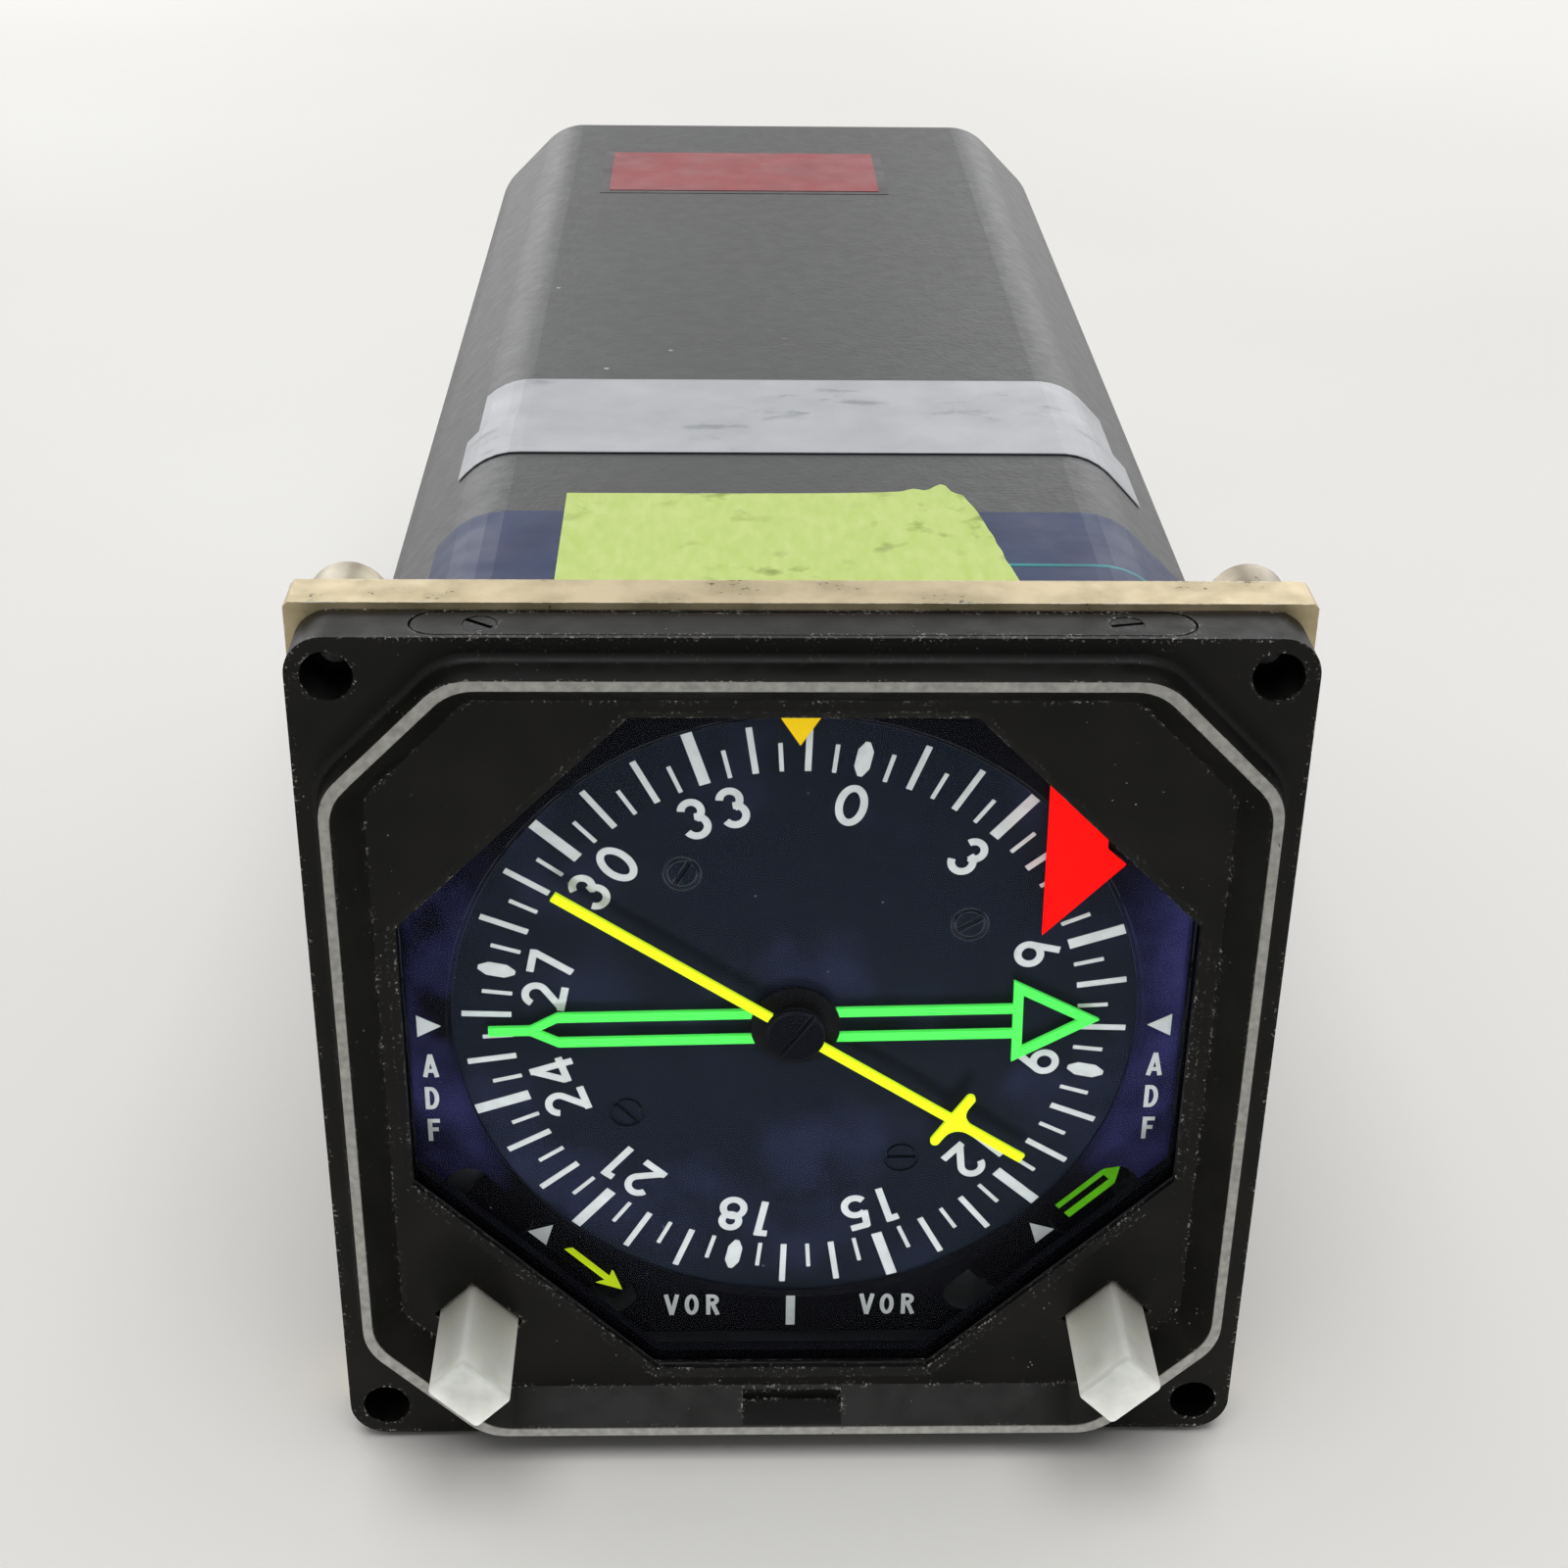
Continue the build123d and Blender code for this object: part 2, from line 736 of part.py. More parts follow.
with BuildPart() as card_bush:
    with BuildSketch(facing(front_plate_back + bush_flange_thick)):
        Circle(bush_flange_r)
    extrude(amount=bush_flange_thick)
    with BuildSketch(facing(front_plate_back)):
        Circle(bush_r)
    extrude(amount=plate_thick)
    with BuildSketch(facing(front_plate_back + bush_flange_thick)):
        Circle(card_tube_r + running_gap)
    extrude(amount=plate_thick + bush_flange_thick, mode=Mode.SUBTRACT)
card_bush.part.label = "card_bush"

first_card_screw = 45 + card_heading
with BuildPart() as compass_card:
    with BuildSketch(facing(card_back)):
        Circle(card_r)
        Circle(double_tube_r + running_gap, mode=Mode.SUBTRACT)
        with PolarLocations(card_screw_circle_r, 4, start_angle=first_card_screw):
            Circle(card_screw_r + fit / 2, mode=Mode.SUBTRACT)
    extrude(amount=card_thick)
    with BuildSketch(facing(card_front)):
        with PolarLocations(card_screw_circle_r, 4, start_angle=first_card_screw):
            Circle(card_screw_ring_r)
    extrude(amount=-card_screw_ring_depth, mode=Mode.SUBTRACT)
compass_card.part.label = "compass_card"


def card_turn(mark):
    """Turn of a plane whose own +Y points at a mark of the card, in degrees."""
    return card_heading - mark


# Painted marks: long every ten degrees, heavy every thirty, a hexagon at each cardinal point
with BuildPart() as card_ticks:
    for mark in range(0, 360, 5):
        with BuildSketch(facing(card_front, card_turn(mark))):
            if mark % 90 == 0:
                middle = (tick_inner_r + hexagon_outer_r) / 2
                half = (hexagon_outer_r - tick_inner_r) / 2
                wide = hexagon_width / 2
                tip = hexagon_tip_width / 2
                straight = half - hexagon_point
                Polygon(
                    (-tip, middle - half), (tip, middle - half), (wide, middle - straight),
                    (wide, middle + straight), (tip, middle + half), (-tip, middle + half),
                    (-wide, middle + straight), (-wide, middle - straight), align=None,
                )
            else:
                outer = tick_5_outer_r
                width = tick_5_width
                if mark % 10 == 0:
                    outer = tick_10_outer_r
                    width = tick_10_width
                if mark % 30 == 0:
                    outer = tick_30_outer_r
                    width = tick_30_width
                with Locations((0, (outer + tick_inner_r) / 2)):
                    Rectangle(width, outer - tick_inner_r)
        extrude(amount=paint_thick)
card_ticks.part.label = "card_ticks"

with BuildPart() as card_screws:
    with BuildSketch(facing(card_back)):
        with PolarLocations(card_screw_circle_r, 4, start_angle=first_card_screw):
            Circle(card_screw_r)
    extrude(amount=card_thick - head_recess)
    for k, turn in enumerate(card_screw_turns):
        a = radians(first_card_screw + 90 * k)
        with BuildSketch(facing(card_front)):
            with Locations((card_screw_circle_r * cos(a), card_screw_circle_r * sin(a))):
                Rectangle(4 * card_screw_r, driver_slot, rotation=turn)
        extrude(amount=-card_slot_depth, mode=Mode.SUBTRACT)
card_screws.part.label = "card_screws"

with BuildPart() as card_gear:
    with BuildSketch(facing(gear_back)):
        add(gear_sketch(card_teeth, card_module, 90.0, double_tube_r + running_gap))
    extrude(amount=gear_thick)
    with BuildSketch(facing(gear_front)):
        Circle(card_tube_r + hub_collar)
        Circle(double_tube_r + running_gap, mode=Mode.SUBTRACT)
    extrude(amount=gear_space)
    with BuildSketch(facing(middle_plate_back)):
        Circle(card_tube_r)
        Circle(double_tube_r + running_gap, mode=Mode.SUBTRACT)
    extrude(amount=middle_plate_back - gear_back)
card_gear.part.label = "card_gear"

# The pinion's gap faces the gear's tooth straight above the dial axis
with BuildPart() as card_pinion:
    with BuildSketch(facing(gear_back)):
        with Locations((0, card_drive_distance)):
            add(gear_sketch(card_pinion_teeth, card_module, 270 + 180 / card_pinion_teeth))
    extrude(amount=gear_thick)
    with BuildSketch(facing(middle_plate_back + shaft_in_motor)):
        with Locations((0, card_drive_distance)):
            Circle(motor_shaft_r)
    extrude(amount=middle_plate_back + shaft_in_motor - gear_back)
card_pinion.part.label = "card_pinion"

with BuildPart() as card_motor:
    with BuildSketch(facing(middle_plate_back + motor_length)):
        with Locations((0, card_drive_distance)):
            Circle(motor_r)
    extrude(amount=motor_length)
    chamfer(card_motor.edges().filter_by(GeomType.CIRCLE), motor_edge)
    with BuildSketch(facing(middle_plate_back + shaft_in_motor + fit)):
        with Locations((0, card_drive_distance)):
            Circle(motor_shaft_r + running_gap)
    extrude(amount=shaft_in_motor + fit, mode=Mode.SUBTRACT)
card_motor.part.label = "card_motor"

with BuildPart() as double_pointer:
    with BuildSketch(facing(double_back, -double_angle)):
        Circle(double_disc_r)
        for side in sides:
            with Locations((side * double_bar_offset, (head_base_r - fork_start_r) / 2)):
                Rectangle(bar_width, head_base_r + fork_start_r)
            inner = side * (double_bar_offset - bar_width / 2)
            outer = side * (double_bar_offset + bar_width / 2)
            Polygon(
                (inner, -fork_start_r), (outer, -fork_start_r),
                (side * bar_width / 2, -fork_end_r), (-side * bar_width / 2, -fork_end_r),
                align=None,
            )
        with Locations((0, -(fork_end_r + double_tail_r) / 2)):
            Rectangle(bar_width, double_tail_r - fork_end_r)
        Polygon(
            (-head_half_width, head_base_r), (head_half_width, head_base_r), (0, double_tip_r),
            align=None,
        )
        # the open middle of the head lies a wall's width inside all three sides
        half_tip = atan2(head_half_width, head_length)
        open_tip = double_tip_r - head_wall / sin(half_tip)
        open_base = head_base_r + head_wall
        open_half = (open_tip - open_base) * tan(half_tip)
        Polygon(
            (-open_half, open_base), (open_half, open_base), (0, open_tip),
            align=None, mode=Mode.SUBTRACT,
        )
        Circle(shaft_r + running_gap, mode=Mode.SUBTRACT)
    extrude(amount=pointer_thick)
double_pointer.part.label = "double_pointer"

with BuildPart() as double_tube:
    with BuildSketch(facing(rear_plate_back + tube_proud)):
        Circle(double_tube_r)
        Circle(shaft_r + running_gap, mode=Mode.SUBTRACT)
    extrude(amount=rear_plate_back + tube_proud - double_back)
double_tube.part.label = "double_tube"

# The gear is pressed on its tube
with BuildPart() as double_gear:
    with BuildSketch(facing(double_gear_back + double_gear_collar)):
        Circle(double_tube_r + hub_collar)
        Circle(double_tube_r + press_gap, mode=Mode.SUBTRACT)
    extrude(amount=double_gear_collar)
    with BuildSketch(facing(double_gear_back)):
        add(gear_sketch(double_teeth, double_module, double_drive_angle, double_tube_r + press_gap))
    extrude(amount=gear_thick)
double_gear.part.label = "double_gear"

with BuildPart() as double_pinion:
    with BuildSketch(facing(double_gear_back)):
        with Locations((double_drive_x, double_drive_z)):
            facing_tooth = double_drive_angle + 180 + 180 / double_pinion_teeth
            add(gear_sketch(double_pinion_teeth, double_module, facing_tooth))
    extrude(amount=gear_thick)
    with BuildSketch(facing(rear_plate_back + shaft_in_motor)):
        with Locations((double_drive_x, double_drive_z)):
            Circle(motor_shaft_r)
    extrude(amount=rear_plate_back + shaft_in_motor - double_gear_back)
double_pinion.part.label = "double_pinion"

with BuildPart() as double_synchro:
    with BuildSketch(facing(rear_plate_back + synchro_length)):
        with Locations((double_drive_x, double_drive_z)):
            Circle(synchro_r)
    extrude(amount=synchro_length)
    chamfer(double_synchro.edges().filter_by(GeomType.CIRCLE), motor_edge)
    with BuildSketch(facing(rear_plate_back + shaft_in_motor + fit)):
        with Locations((double_drive_x, double_drive_z)):
            Circle(motor_shaft_r + running_gap)
    extrude(amount=shaft_in_motor + fit, mode=Mode.SUBTRACT)
double_synchro.part.label = "double_synchro"

with BuildPart() as single_pointer:
    with BuildSketch(facing(single_back, -single_angle)) as outline:
        with Locations((0, (single_tip_r - single_tail_r) / 2)):
            Rectangle(bar_width, single_tip_r + single_tail_r)
        with Locations((0, wing_r)):
            SlotOverall(wing_span, bar_width)
        wing_front = wing_r + bar_width / 2
        fillet(
            [v for v in outline.vertices()
             if abs(v.Y - wing_front) < 0.01 and abs(abs(v.X) - bar_width / 2) < 0.01],
            wing_fillet,
        )
        Circle(cap_r - fit)
        Circle(pivot_r + press_gap, mode=Mode.SUBTRACT)
    extrude(amount=pointer_thick)
single_pointer.part.label = "single_pointer"

with BuildPart() as pointer_cap:
    with BuildSketch(facing(single_front)):
        Circle(cap_r)
    extrude(amount=cap_thick)
    chamfer(pointer_cap.edges().group_by(Axis.Y)[0], cap_edge)
    with BuildSketch(facing(cap_front, cap_slot_turn)):
        Rectangle(3 * cap_r, cap_slot)
    extrude(amount=-cap_slot_depth, mode=Mode.SUBTRACT)
    with BuildSketch(facing(single_back)):
        Circle(pivot_r)
    extrude(amount=pointer_thick)
pointer_cap.part.label = "pointer_cap"

with BuildPart() as single_shaft:
    with BuildSketch(facing(shaft_seat)):
        Circle(shaft_r)
    extrude(amount=shaft_seat - single_back)
single_shaft.part.label = "single_shaft"

# A ring on the front of the synchro seats on the rear plate, clear of the tube's end
with BuildPart() as single_synchro:
    with BuildSketch(facing(rear_plate_back + boss_step + rear_synchro_length)):
        Circle(rear_synchro_r)
    extrude(amount=rear_synchro_length)
    chamfer(single_synchro.edges().filter_by(GeomType.CIRCLE), motor_edge)
    with BuildSketch(facing(rear_plate_back + boss_step)):
        Circle(rear_synchro_r - boss_outer_inset)
        Circle(rear_synchro_r - boss_inner_inset, mode=Mode.SUBTRACT)
    extrude(amount=boss_step)
    with BuildSketch(facing(shaft_seat + fit)):
        Circle(shaft_r + running_gap)
    extrude(amount=shaft_seat + fit - rear_plate_back - boss_step, mode=Mode.SUBTRACT)
single_synchro.part.label = "single_synchro"

with BuildPart() as warning_flag:
    with BuildSketch(facing(flag_front + flag_thick)):
        with Locations(flag_pivot):
            Polygon(*flag_outline, align=None)
            Circle(flag_boss_r)
    extrude(amount=flag_thick)
    with BuildSketch(facing(front_plate_back + flag_shaft_in_movement)):
        with Locations(flag_pivot):
            Circle(flag_shaft_r)
    extrude(amount=front_plate_back + flag_shaft_in_movement - flag_front - flag_thick)
warning_flag.part.label = "warning_flag"

with BuildPart() as flag_movement:
    with BuildSketch(facing(middle_plate_front)):
        with Locations(flag_pivot):
            Circle(flag_movement_r)
    extrude(amount=middle_plate_front - front_plate_back)
    with BuildSketch(facing(front_plate_back + flag_shaft_in_movement + fit)):
        with Locations(flag_pivot):
            Circle(flag_shaft_r + running_gap)
    extrude(amount=flag_shaft_in_movement + fit, mode=Mode.SUBTRACT)
flag_movement.part.label = "flag_movement"


def side_name(side):
    """Word for a side of the dial, as the pilot sees it."""
    return "left" if side < 0 else "right"


def push_button(side):
    """Square cut button with a shoulder behind the bezel and a stem offset outwards."""
    with BuildPart() as button:
        with BuildSketch(facing(shoulder_front)) as section:
            with Locations((side * button_x, button_z)):
                Rectangle(button_long, button_short, rotation=button_turn(side))
            fillet(section.vertices(), button_edge_r)
        extrude(amount=shoulder_front + button_proud)
        fillet(button.faces().sort_by(Axis.Y)[0].edges(), button_front_r)
        # the shoulder overlaps the slot at both ends and on the outer side
        shoulder_wide = button_short + button_shoulder + stem_out - button_short / 2
        shift = (shoulder_wide - button_short) / 2
        with BuildSketch(facing(shoulder_back)):
            with Locations((
                side * (button_x + shift / sqrt(2)), button_z - shift / sqrt(2),
            )):
                Rectangle(
                    button_long + 2 * button_shoulder, shoulder_wide,
                    rotation=button_turn(side),
                )
        extrude(amount=button_shoulder_thick)
        with BuildSketch(facing(stem_end)):
            with Locations((side * stem_x, stem_z)):
                Circle(stem_r)
        extrude(amount=stem_end - shoulder_back)
    button.part.label = side_name(side) + "_button"
    return button.part


def button_spring(side):
    """Return spring round a button's stem, from the front plate to the shoulder."""
    length = front_plate_front - shoulder_back - spring_wire - 2 * spring_end_gap
    path = Helix(
        pitch=length / spring_turns,
        height=length,
        radius=spring_r,
        center=(side * stem_x, shoulder_back + spring_wire / 2 + spring_end_gap, stem_z),
        direction=(0, 1, 0),
    )
    with BuildPart() as spring:
        with BuildSketch(Plane(path @ 0, z_dir=path % 0)):
            RegularPolygon(spring_wire / 2, 6)
        sweep(path=path, is_frenet=True)
    spring.part.label = side_name(side) + "_button_spring"
    return spring.part


left_button = push_button(-1)
right_button = push_button(1)
left_button_spring = button_spring(-1)
right_button_spring = button_spring(1)

# Each switch stands on a leg behind the front plate, beside the stem that presses it
with BuildPart() as button_switches:
    for side in sides:
        with BuildSketch(facing(switch_front + switch_depth)):
            with Locations((side * (stem_x - switch_shift), stem_z + switch_shift)):
                Rectangle(switch_long, switch_wide, rotation=button_turn(side))
        extrude(amount=switch_depth)
        with BuildSketch(facing(switch_front)):
            with Locations((side * (stem_x - switch_leg_shift_x), stem_z - switch_leg_shift_z)):
                Circle(switch_leg_r)
        extrude(amount=switch_front - front_plate_back)
button_switches.part.label = "button_switches"


def source_disc(side):
    """Turning disc behind the mask windows, with an arm that carries the symbol, and its shaft."""
    arm_reach = hypot(symbol_x, symbol_z) + symbol_length / 2 + symbol_margin
    arm_width = symbol_head_width + 2 * symbol_margin
    with BuildPart() as disc:
        with BuildSketch(facing(disc_front + disc_thick)):
            with Locations((side * disc_x, disc_z)):
                Circle(disc_r)
            with Locations(Location((side * disc_x, disc_z, 0), (0, 0, 45.0 * side))):
                with Locations((arm_reach / 2, 0)):
                    RectangleRounded(arm_reach, arm_width, 2 * symbol_margin)
        extrude(amount=disc_thick)
        with BuildSketch(facing(front_plate_back + disc_shaft_in_solenoid)):
            with Locations((side * disc_x, disc_z)):
                Circle(motor_shaft_r)
        extrude(amount=front_plate_back + disc_shaft_in_solenoid - disc_front - disc_thick)
    disc.part.label = side_name(side) + "_source_disc"
    return disc.part


left_source_disc = source_disc(-1)
right_source_disc = source_disc(1)

# The left symbol is a plain arrow, shown at its lower place
with BuildPart() as left_source_symbol:
    x, z = symbol_places[0]
    half = symbol_length / 2
    barb = half - symbol_head_length
    neck = barb + symbol_barb
    with BuildSketch(facing(disc_front)):
        with Locations(Location((-x, z, 0), (0, 0, -45.0))):
            Polygon(
                (-half, -symbol_arrow_width / 2), (neck, -symbol_arrow_width / 2),
                (barb, -symbol_head_width / 2), (half, 0), (barb, symbol_head_width / 2),
                (neck, symbol_arrow_width / 2), (-half, symbol_arrow_width / 2), align=None,
            )
    extrude(amount=paint_thick)
left_source_symbol.part.label = "left_source_symbol"

# The right symbol is a slotted arrow, shown at its upper place
with BuildPart() as right_source_symbol:
    x, z = symbol_places[1]
    shoulder = slotted_width / 2
    slot_end = half - slotted_head - slotted_wall
    with BuildSketch(facing(disc_front)):
        with Locations(Location((x, z, 0), (0, 0, 45.0))):
            Polygon(
                (-half, -shoulder), (half - slotted_head, -shoulder), (half, 0),
                (half - slotted_head, shoulder), (-half, shoulder), align=None,
            )
            with Locations(((slot_end - half) / 2, 0)):
                Rectangle(slot_end + half, slotted_width - 2 * slotted_bar, mode=Mode.SUBTRACT)
    extrude(amount=paint_thick)
right_source_symbol.part.label = "right_source_symbol"

with BuildPart() as source_solenoids:
    for side in sides:
        with BuildSketch(facing(middle_plate_front)):
            with Locations((side * disc_x, disc_z)):
                Circle(solenoid_r)
        extrude(amount=middle_plate_front - front_plate_back)
        with BuildSketch(facing(front_plate_back + disc_shaft_in_solenoid + fit)):
            with Locations((side * disc_x, disc_z)):
                Circle(motor_shaft_r + running_gap)
        extrude(amount=disc_shaft_in_solenoid + fit, mode=Mode.SUBTRACT)
source_solenoids.part.label = "source_solenoids"

post_x = case_inner_side / 2 - post_edge_gap
post_places = [(x * post_x, z * post_height) for x in sides for z in sides]

with BuildPart() as middle_plate:
    with BuildSketch(facing(middle_plate_back)):
        add(octagon(plate_side, plate_cut, bend_r=plate_bend_r))
        Circle(card_tube_r + running_gap, mode=Mode.SUBTRACT)
        with Locations((0, card_drive_distance)):
            Circle(motor_shaft_r + running_gap, mode=Mode.SUBTRACT)
        for side in sides:
            with Locations((side * (stem_x - switch_shift), stem_z + switch_shift)):
                Rectangle(
                    switch_long + 2 * switch_clearance, switch_wide + 2 * switch_clearance,
                    rotation=button_turn(side), mode=Mode.SUBTRACT,
                )
    extrude(amount=plate_thick)
middle_plate.part.label = "middle_plate"

with BuildPart() as rear_plate:
    with BuildSketch(facing(rear_plate_back)):
        add(octagon(plate_side, plate_cut, bend_r=plate_bend_r))
        Circle(double_tube_r + running_gap, mode=Mode.SUBTRACT)
        with Locations((0, card_drive_distance)):
            Circle(motor_r + fit, mode=Mode.SUBTRACT)
        with Locations((double_drive_x, double_drive_z)):
            Circle(motor_shaft_r + running_gap, mode=Mode.SUBTRACT)
    extrude(amount=plate_thick)
rear_plate.part.label = "rear_plate"

# Hexagonal posts between the plates, then long rails back to the plate behind the connector
end_plate_back = case_back - case_wall - plate_fit
end_plate_front = end_plate_back - plate_thick
with BuildPart() as chassis_posts:
    for start, end in (
        (front_plate_back, middle_plate_front),
        (middle_plate_back, rear_plate_front),
        (rear_plate_back, end_plate_front),
    ):
        with BuildSketch(facing(end)):
            with Locations(*post_places):
                RegularPolygon(post_r, 6)
        extrude(amount=end - start)
chassis_posts.part.label = "chassis_posts"

socket_screw_spacing = socket_flange - 2 * socket_screw_inset
socket_screw_places = [
    (x * socket_screw_spacing / 2, z * socket_screw_spacing / 2) for x in sides for z in sides
]
with BuildPart() as end_plate:
    with BuildSketch(facing(end_plate_back)):
        end_side, end_cut = octagon_inside(plate_side, plate_cut, case_end_r - case_wall)
        add(octagon(end_side, end_cut))
        Circle(socket_r + fit, mode=Mode.SUBTRACT)
        with Locations(*socket_screw_places):
            Circle(socket_screw_r + fit / 2, mode=Mode.SUBTRACT)
    extrude(amount=plate_thick)
end_plate.part.label = "end_plate"

# Two boards stand between the rails, with their parts on the inner faces
board_x = post_x - board_from_post - board_thick
board_start = rear_plate_back + rear_synchro_length + board_lead
board_end = end_plate_front
chip_places = [board_start + chip_first + chip_pitch * k for k in range(chip_count)]
with BuildPart() as amplifier_board:
    with BuildSketch(Plane.YZ.offset(-board_x - board_thick)):
        with Locations(((board_start + board_end) / 2, 0)):
            Rectangle(board_end - board_start, board_height)
    extrude(amount=board_thick)
    with BuildSketch(Plane.YZ.offset(-board_x)):
        for y in chip_places:
            with Locations((y, part_row)):
                Rectangle(chip_width, chip_height)
    extrude(amount=chip_thick)
    with BuildSketch(Plane.YZ.offset(-board_x)):
        for y in chip_places:
            with Locations((y, -part_row)):
                Circle(can_r)
    extrude(amount=can_height)
amplifier_board.part.label = "amplifier_board"

with BuildPart() as power_board:
    with BuildSketch(Plane.YZ.offset(board_x)):
        with Locations(((board_start + board_end) / 2, 0)):
            Rectangle(board_end - board_start, board_height)
    extrude(amount=board_thick)
    with BuildSketch(Plane.YZ.offset(board_x)):
        with Locations((board_start + transformer_place, 0)):
            Rectangle(transformer_length, transformer_height)
    extrude(amount=-transformer_thick)
    with BuildSketch(Plane.YZ.offset(board_x)):
        for z in (-part_row, part_row):
            with Locations((board_start + capacitor_place, z)):
                Circle(capacitor_r)
    extrude(amount=-capacitor_height)
power_board.part.label = "power_board"

with BuildPart() as case_shell:
    with BuildSketch(facing(case_back)):
        add(octagon(case_side, case_cut, bend_r=case_bend_r))
    extrude(amount=case_length)
    fillet(case_shell.faces().sort_by(Axis.Y)[-1].edges(), case_end_r)
    offset(amount=-case_wall, openings=case_shell.faces().sort_by(Axis.Y)[0])
    with BuildSketch(facing(case_back)):
        Circle(socket_r + fit)
        with Locations(*socket_screw_places):
            Circle(socket_screw_r + fit / 2)
    extrude(amount=case_wall, mode=Mode.SUBTRACT)
case_shell.part.label = "case_shell"

socket_back = case_back + socket_depth
socket_front = end_plate_front - socket_inner_reach
insert_back = case_back + insert_proud
with BuildPart() as connector_shell:
    with BuildSketch(facing(socket_back)):
        Circle(socket_r)
    extrude(amount=socket_back - socket_front)
    with BuildSketch(facing(case_back + socket_flange_thick)):
        RectangleRounded(socket_flange, socket_flange, socket_flange_corner_r)
        with Locations(*socket_screw_places):
            Circle(socket_screw_r + fit / 2, mode=Mode.SUBTRACT)
    extrude(amount=socket_flange_thick)
    # bayonet pins stand out from the barrel
    for k in range(bayonet_count):
        turn = 360 * k / bayonet_count
        outward = (sin(radians(turn)), 0, cos(radians(turn)))
        middle_r = socket_r - socket_wall / 2
        centre = (outward[0] * middle_r, socket_back - bayonet_from_end, outward[2] * middle_r)
        with BuildSketch(Plane(origin=centre, x_dir=(0, 1, 0), z_dir=outward)):
            Circle(bayonet_r)
        extrude(amount=bayonet_proud + socket_wall / 2)
    with BuildSketch(facing(socket_back)):
        Circle(socket_r - socket_wall)
    extrude(amount=socket_back - socket_front, mode=Mode.SUBTRACT)
    # a key inside the open end lets the plug in one way only
    with BuildSketch(facing(socket_back)):
        with Locations((0, socket_r - socket_wall - key_height / 2 + fit)):
            Rectangle(key_width, key_height)
    extrude(amount=socket_back - insert_back - fit)
connector_shell.part.label = "connector_shell"

pin_places = [(0.0, 0.0)]
for ring in range(1, pin_rings + 1):
    for k in range(6 * ring):
        a = 2 * pi * k / (6 * ring)
        pin_places.append((ring * pin_pitch * cos(a), ring * pin_pitch * sin(a)))

with BuildPart() as connector_insert:
    with BuildSketch(facing(insert_back)):
        Circle(socket_r - socket_wall)
        with Locations(*pin_places):
            Circle(pin_r, mode=Mode.SUBTRACT)
    extrude(amount=insert_thick)
connector_insert.part.label = "connector_insert"

with BuildPart() as connector_pins:
    with BuildSketch(facing(insert_back + pin_proud)):
        with Locations(*pin_places):
            Circle(pin_r)
    extrude(amount=insert_thick + pin_proud + pin_tail)
connector_pins.part.label = "connector_pins"

with BuildPart() as connector_screws:
    with BuildSketch(facing(case_back + socket_flange_thick + socket_screw_head)):
        with Locations(*socket_screw_places):
            Circle(socket_screw_head_r)
    extrude(amount=socket_screw_head)
    fillet(connector_screws.faces().sort_by(Axis.Y)[-4:].edges(), socket_screw_edge_r)
    with BuildSketch(facing(case_back + socket_flange_thick)):
        with Locations(*socket_screw_places):
            Circle(socket_screw_r)
    extrude(amount=case_back + socket_flange_thick - end_plate_front)
    with BuildSketch(facing(case_back + socket_flange_thick + socket_screw_head)):
        with Locations(*socket_screw_places):
            Rectangle(3 * socket_screw_head_r, socket_slot, rotation=socket_slot_turn)
    extrude(amount=socket_slot_depth, mode=Mode.SUBTRACT)
connector_screws.part.label = "connector_screws"

os.makedirs("parts", exist_ok=True)
pieces = [
    bezel.part, lamp_cover.part, lamp_cover_screws.part, dial_lamps.part, glass_gasket.part,
    front_glass.part, glass_retainer.part, mounting_flange.part, anchor_nuts.part,
    dial_mask.part, lubber_mark.part, index_marks.part, mask_posts.part, front_plate.part,
    card_bush.part, compass_card.part, card_ticks.part, card_screws.part, card_gear.part,
    card_pinion.part, card_motor.part, double_pointer.part, double_tube.part,
    double_gear.part, double_pinion.part, double_synchro.part, single_pointer.part,
    pointer_cap.part, single_shaft.part, single_synchro.part, warning_flag.part,
    flag_movement.part, left_button, right_button, left_button_spring, right_button_spring,
    button_switches.part, left_source_disc, right_source_disc, left_source_symbol.part,
    right_source_symbol.part, source_solenoids.part, middle_plate.part, rear_plate.part,
    chassis_posts.part, end_plate.part, amplifier_board.part, power_board.part,
    case_shell.part, connector_shell.part, connector_insert.part, connector_pins.part,
    connector_screws.part,
]
for piece in pieces:
    export_step(piece, f"parts/{piece.label}.step")
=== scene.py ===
# %% [markdown]
# The finish of a radio magnetic indicator, one step at a time.
# The solid parts come from a fixed frame that is already at its real size.
# This lesson gives each of them the surface that the real one has, and adds
# what is too thin for a solid model: painted figures, labels, tapes and a decal.

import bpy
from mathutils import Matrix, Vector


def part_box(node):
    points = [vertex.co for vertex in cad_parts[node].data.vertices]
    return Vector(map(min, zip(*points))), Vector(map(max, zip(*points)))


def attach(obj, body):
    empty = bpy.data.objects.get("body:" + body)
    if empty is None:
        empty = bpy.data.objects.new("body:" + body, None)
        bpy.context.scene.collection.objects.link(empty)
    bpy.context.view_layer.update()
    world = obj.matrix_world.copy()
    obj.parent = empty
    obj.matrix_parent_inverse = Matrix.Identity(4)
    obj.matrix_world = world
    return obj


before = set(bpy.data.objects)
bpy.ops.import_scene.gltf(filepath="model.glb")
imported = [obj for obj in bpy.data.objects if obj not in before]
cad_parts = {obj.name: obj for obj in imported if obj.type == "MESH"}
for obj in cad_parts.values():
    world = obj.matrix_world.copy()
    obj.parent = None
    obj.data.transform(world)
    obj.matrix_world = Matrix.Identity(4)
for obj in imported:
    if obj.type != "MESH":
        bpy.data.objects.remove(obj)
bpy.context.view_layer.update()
print("nodes in the frame:", len(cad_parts))

# %% Modules
import math

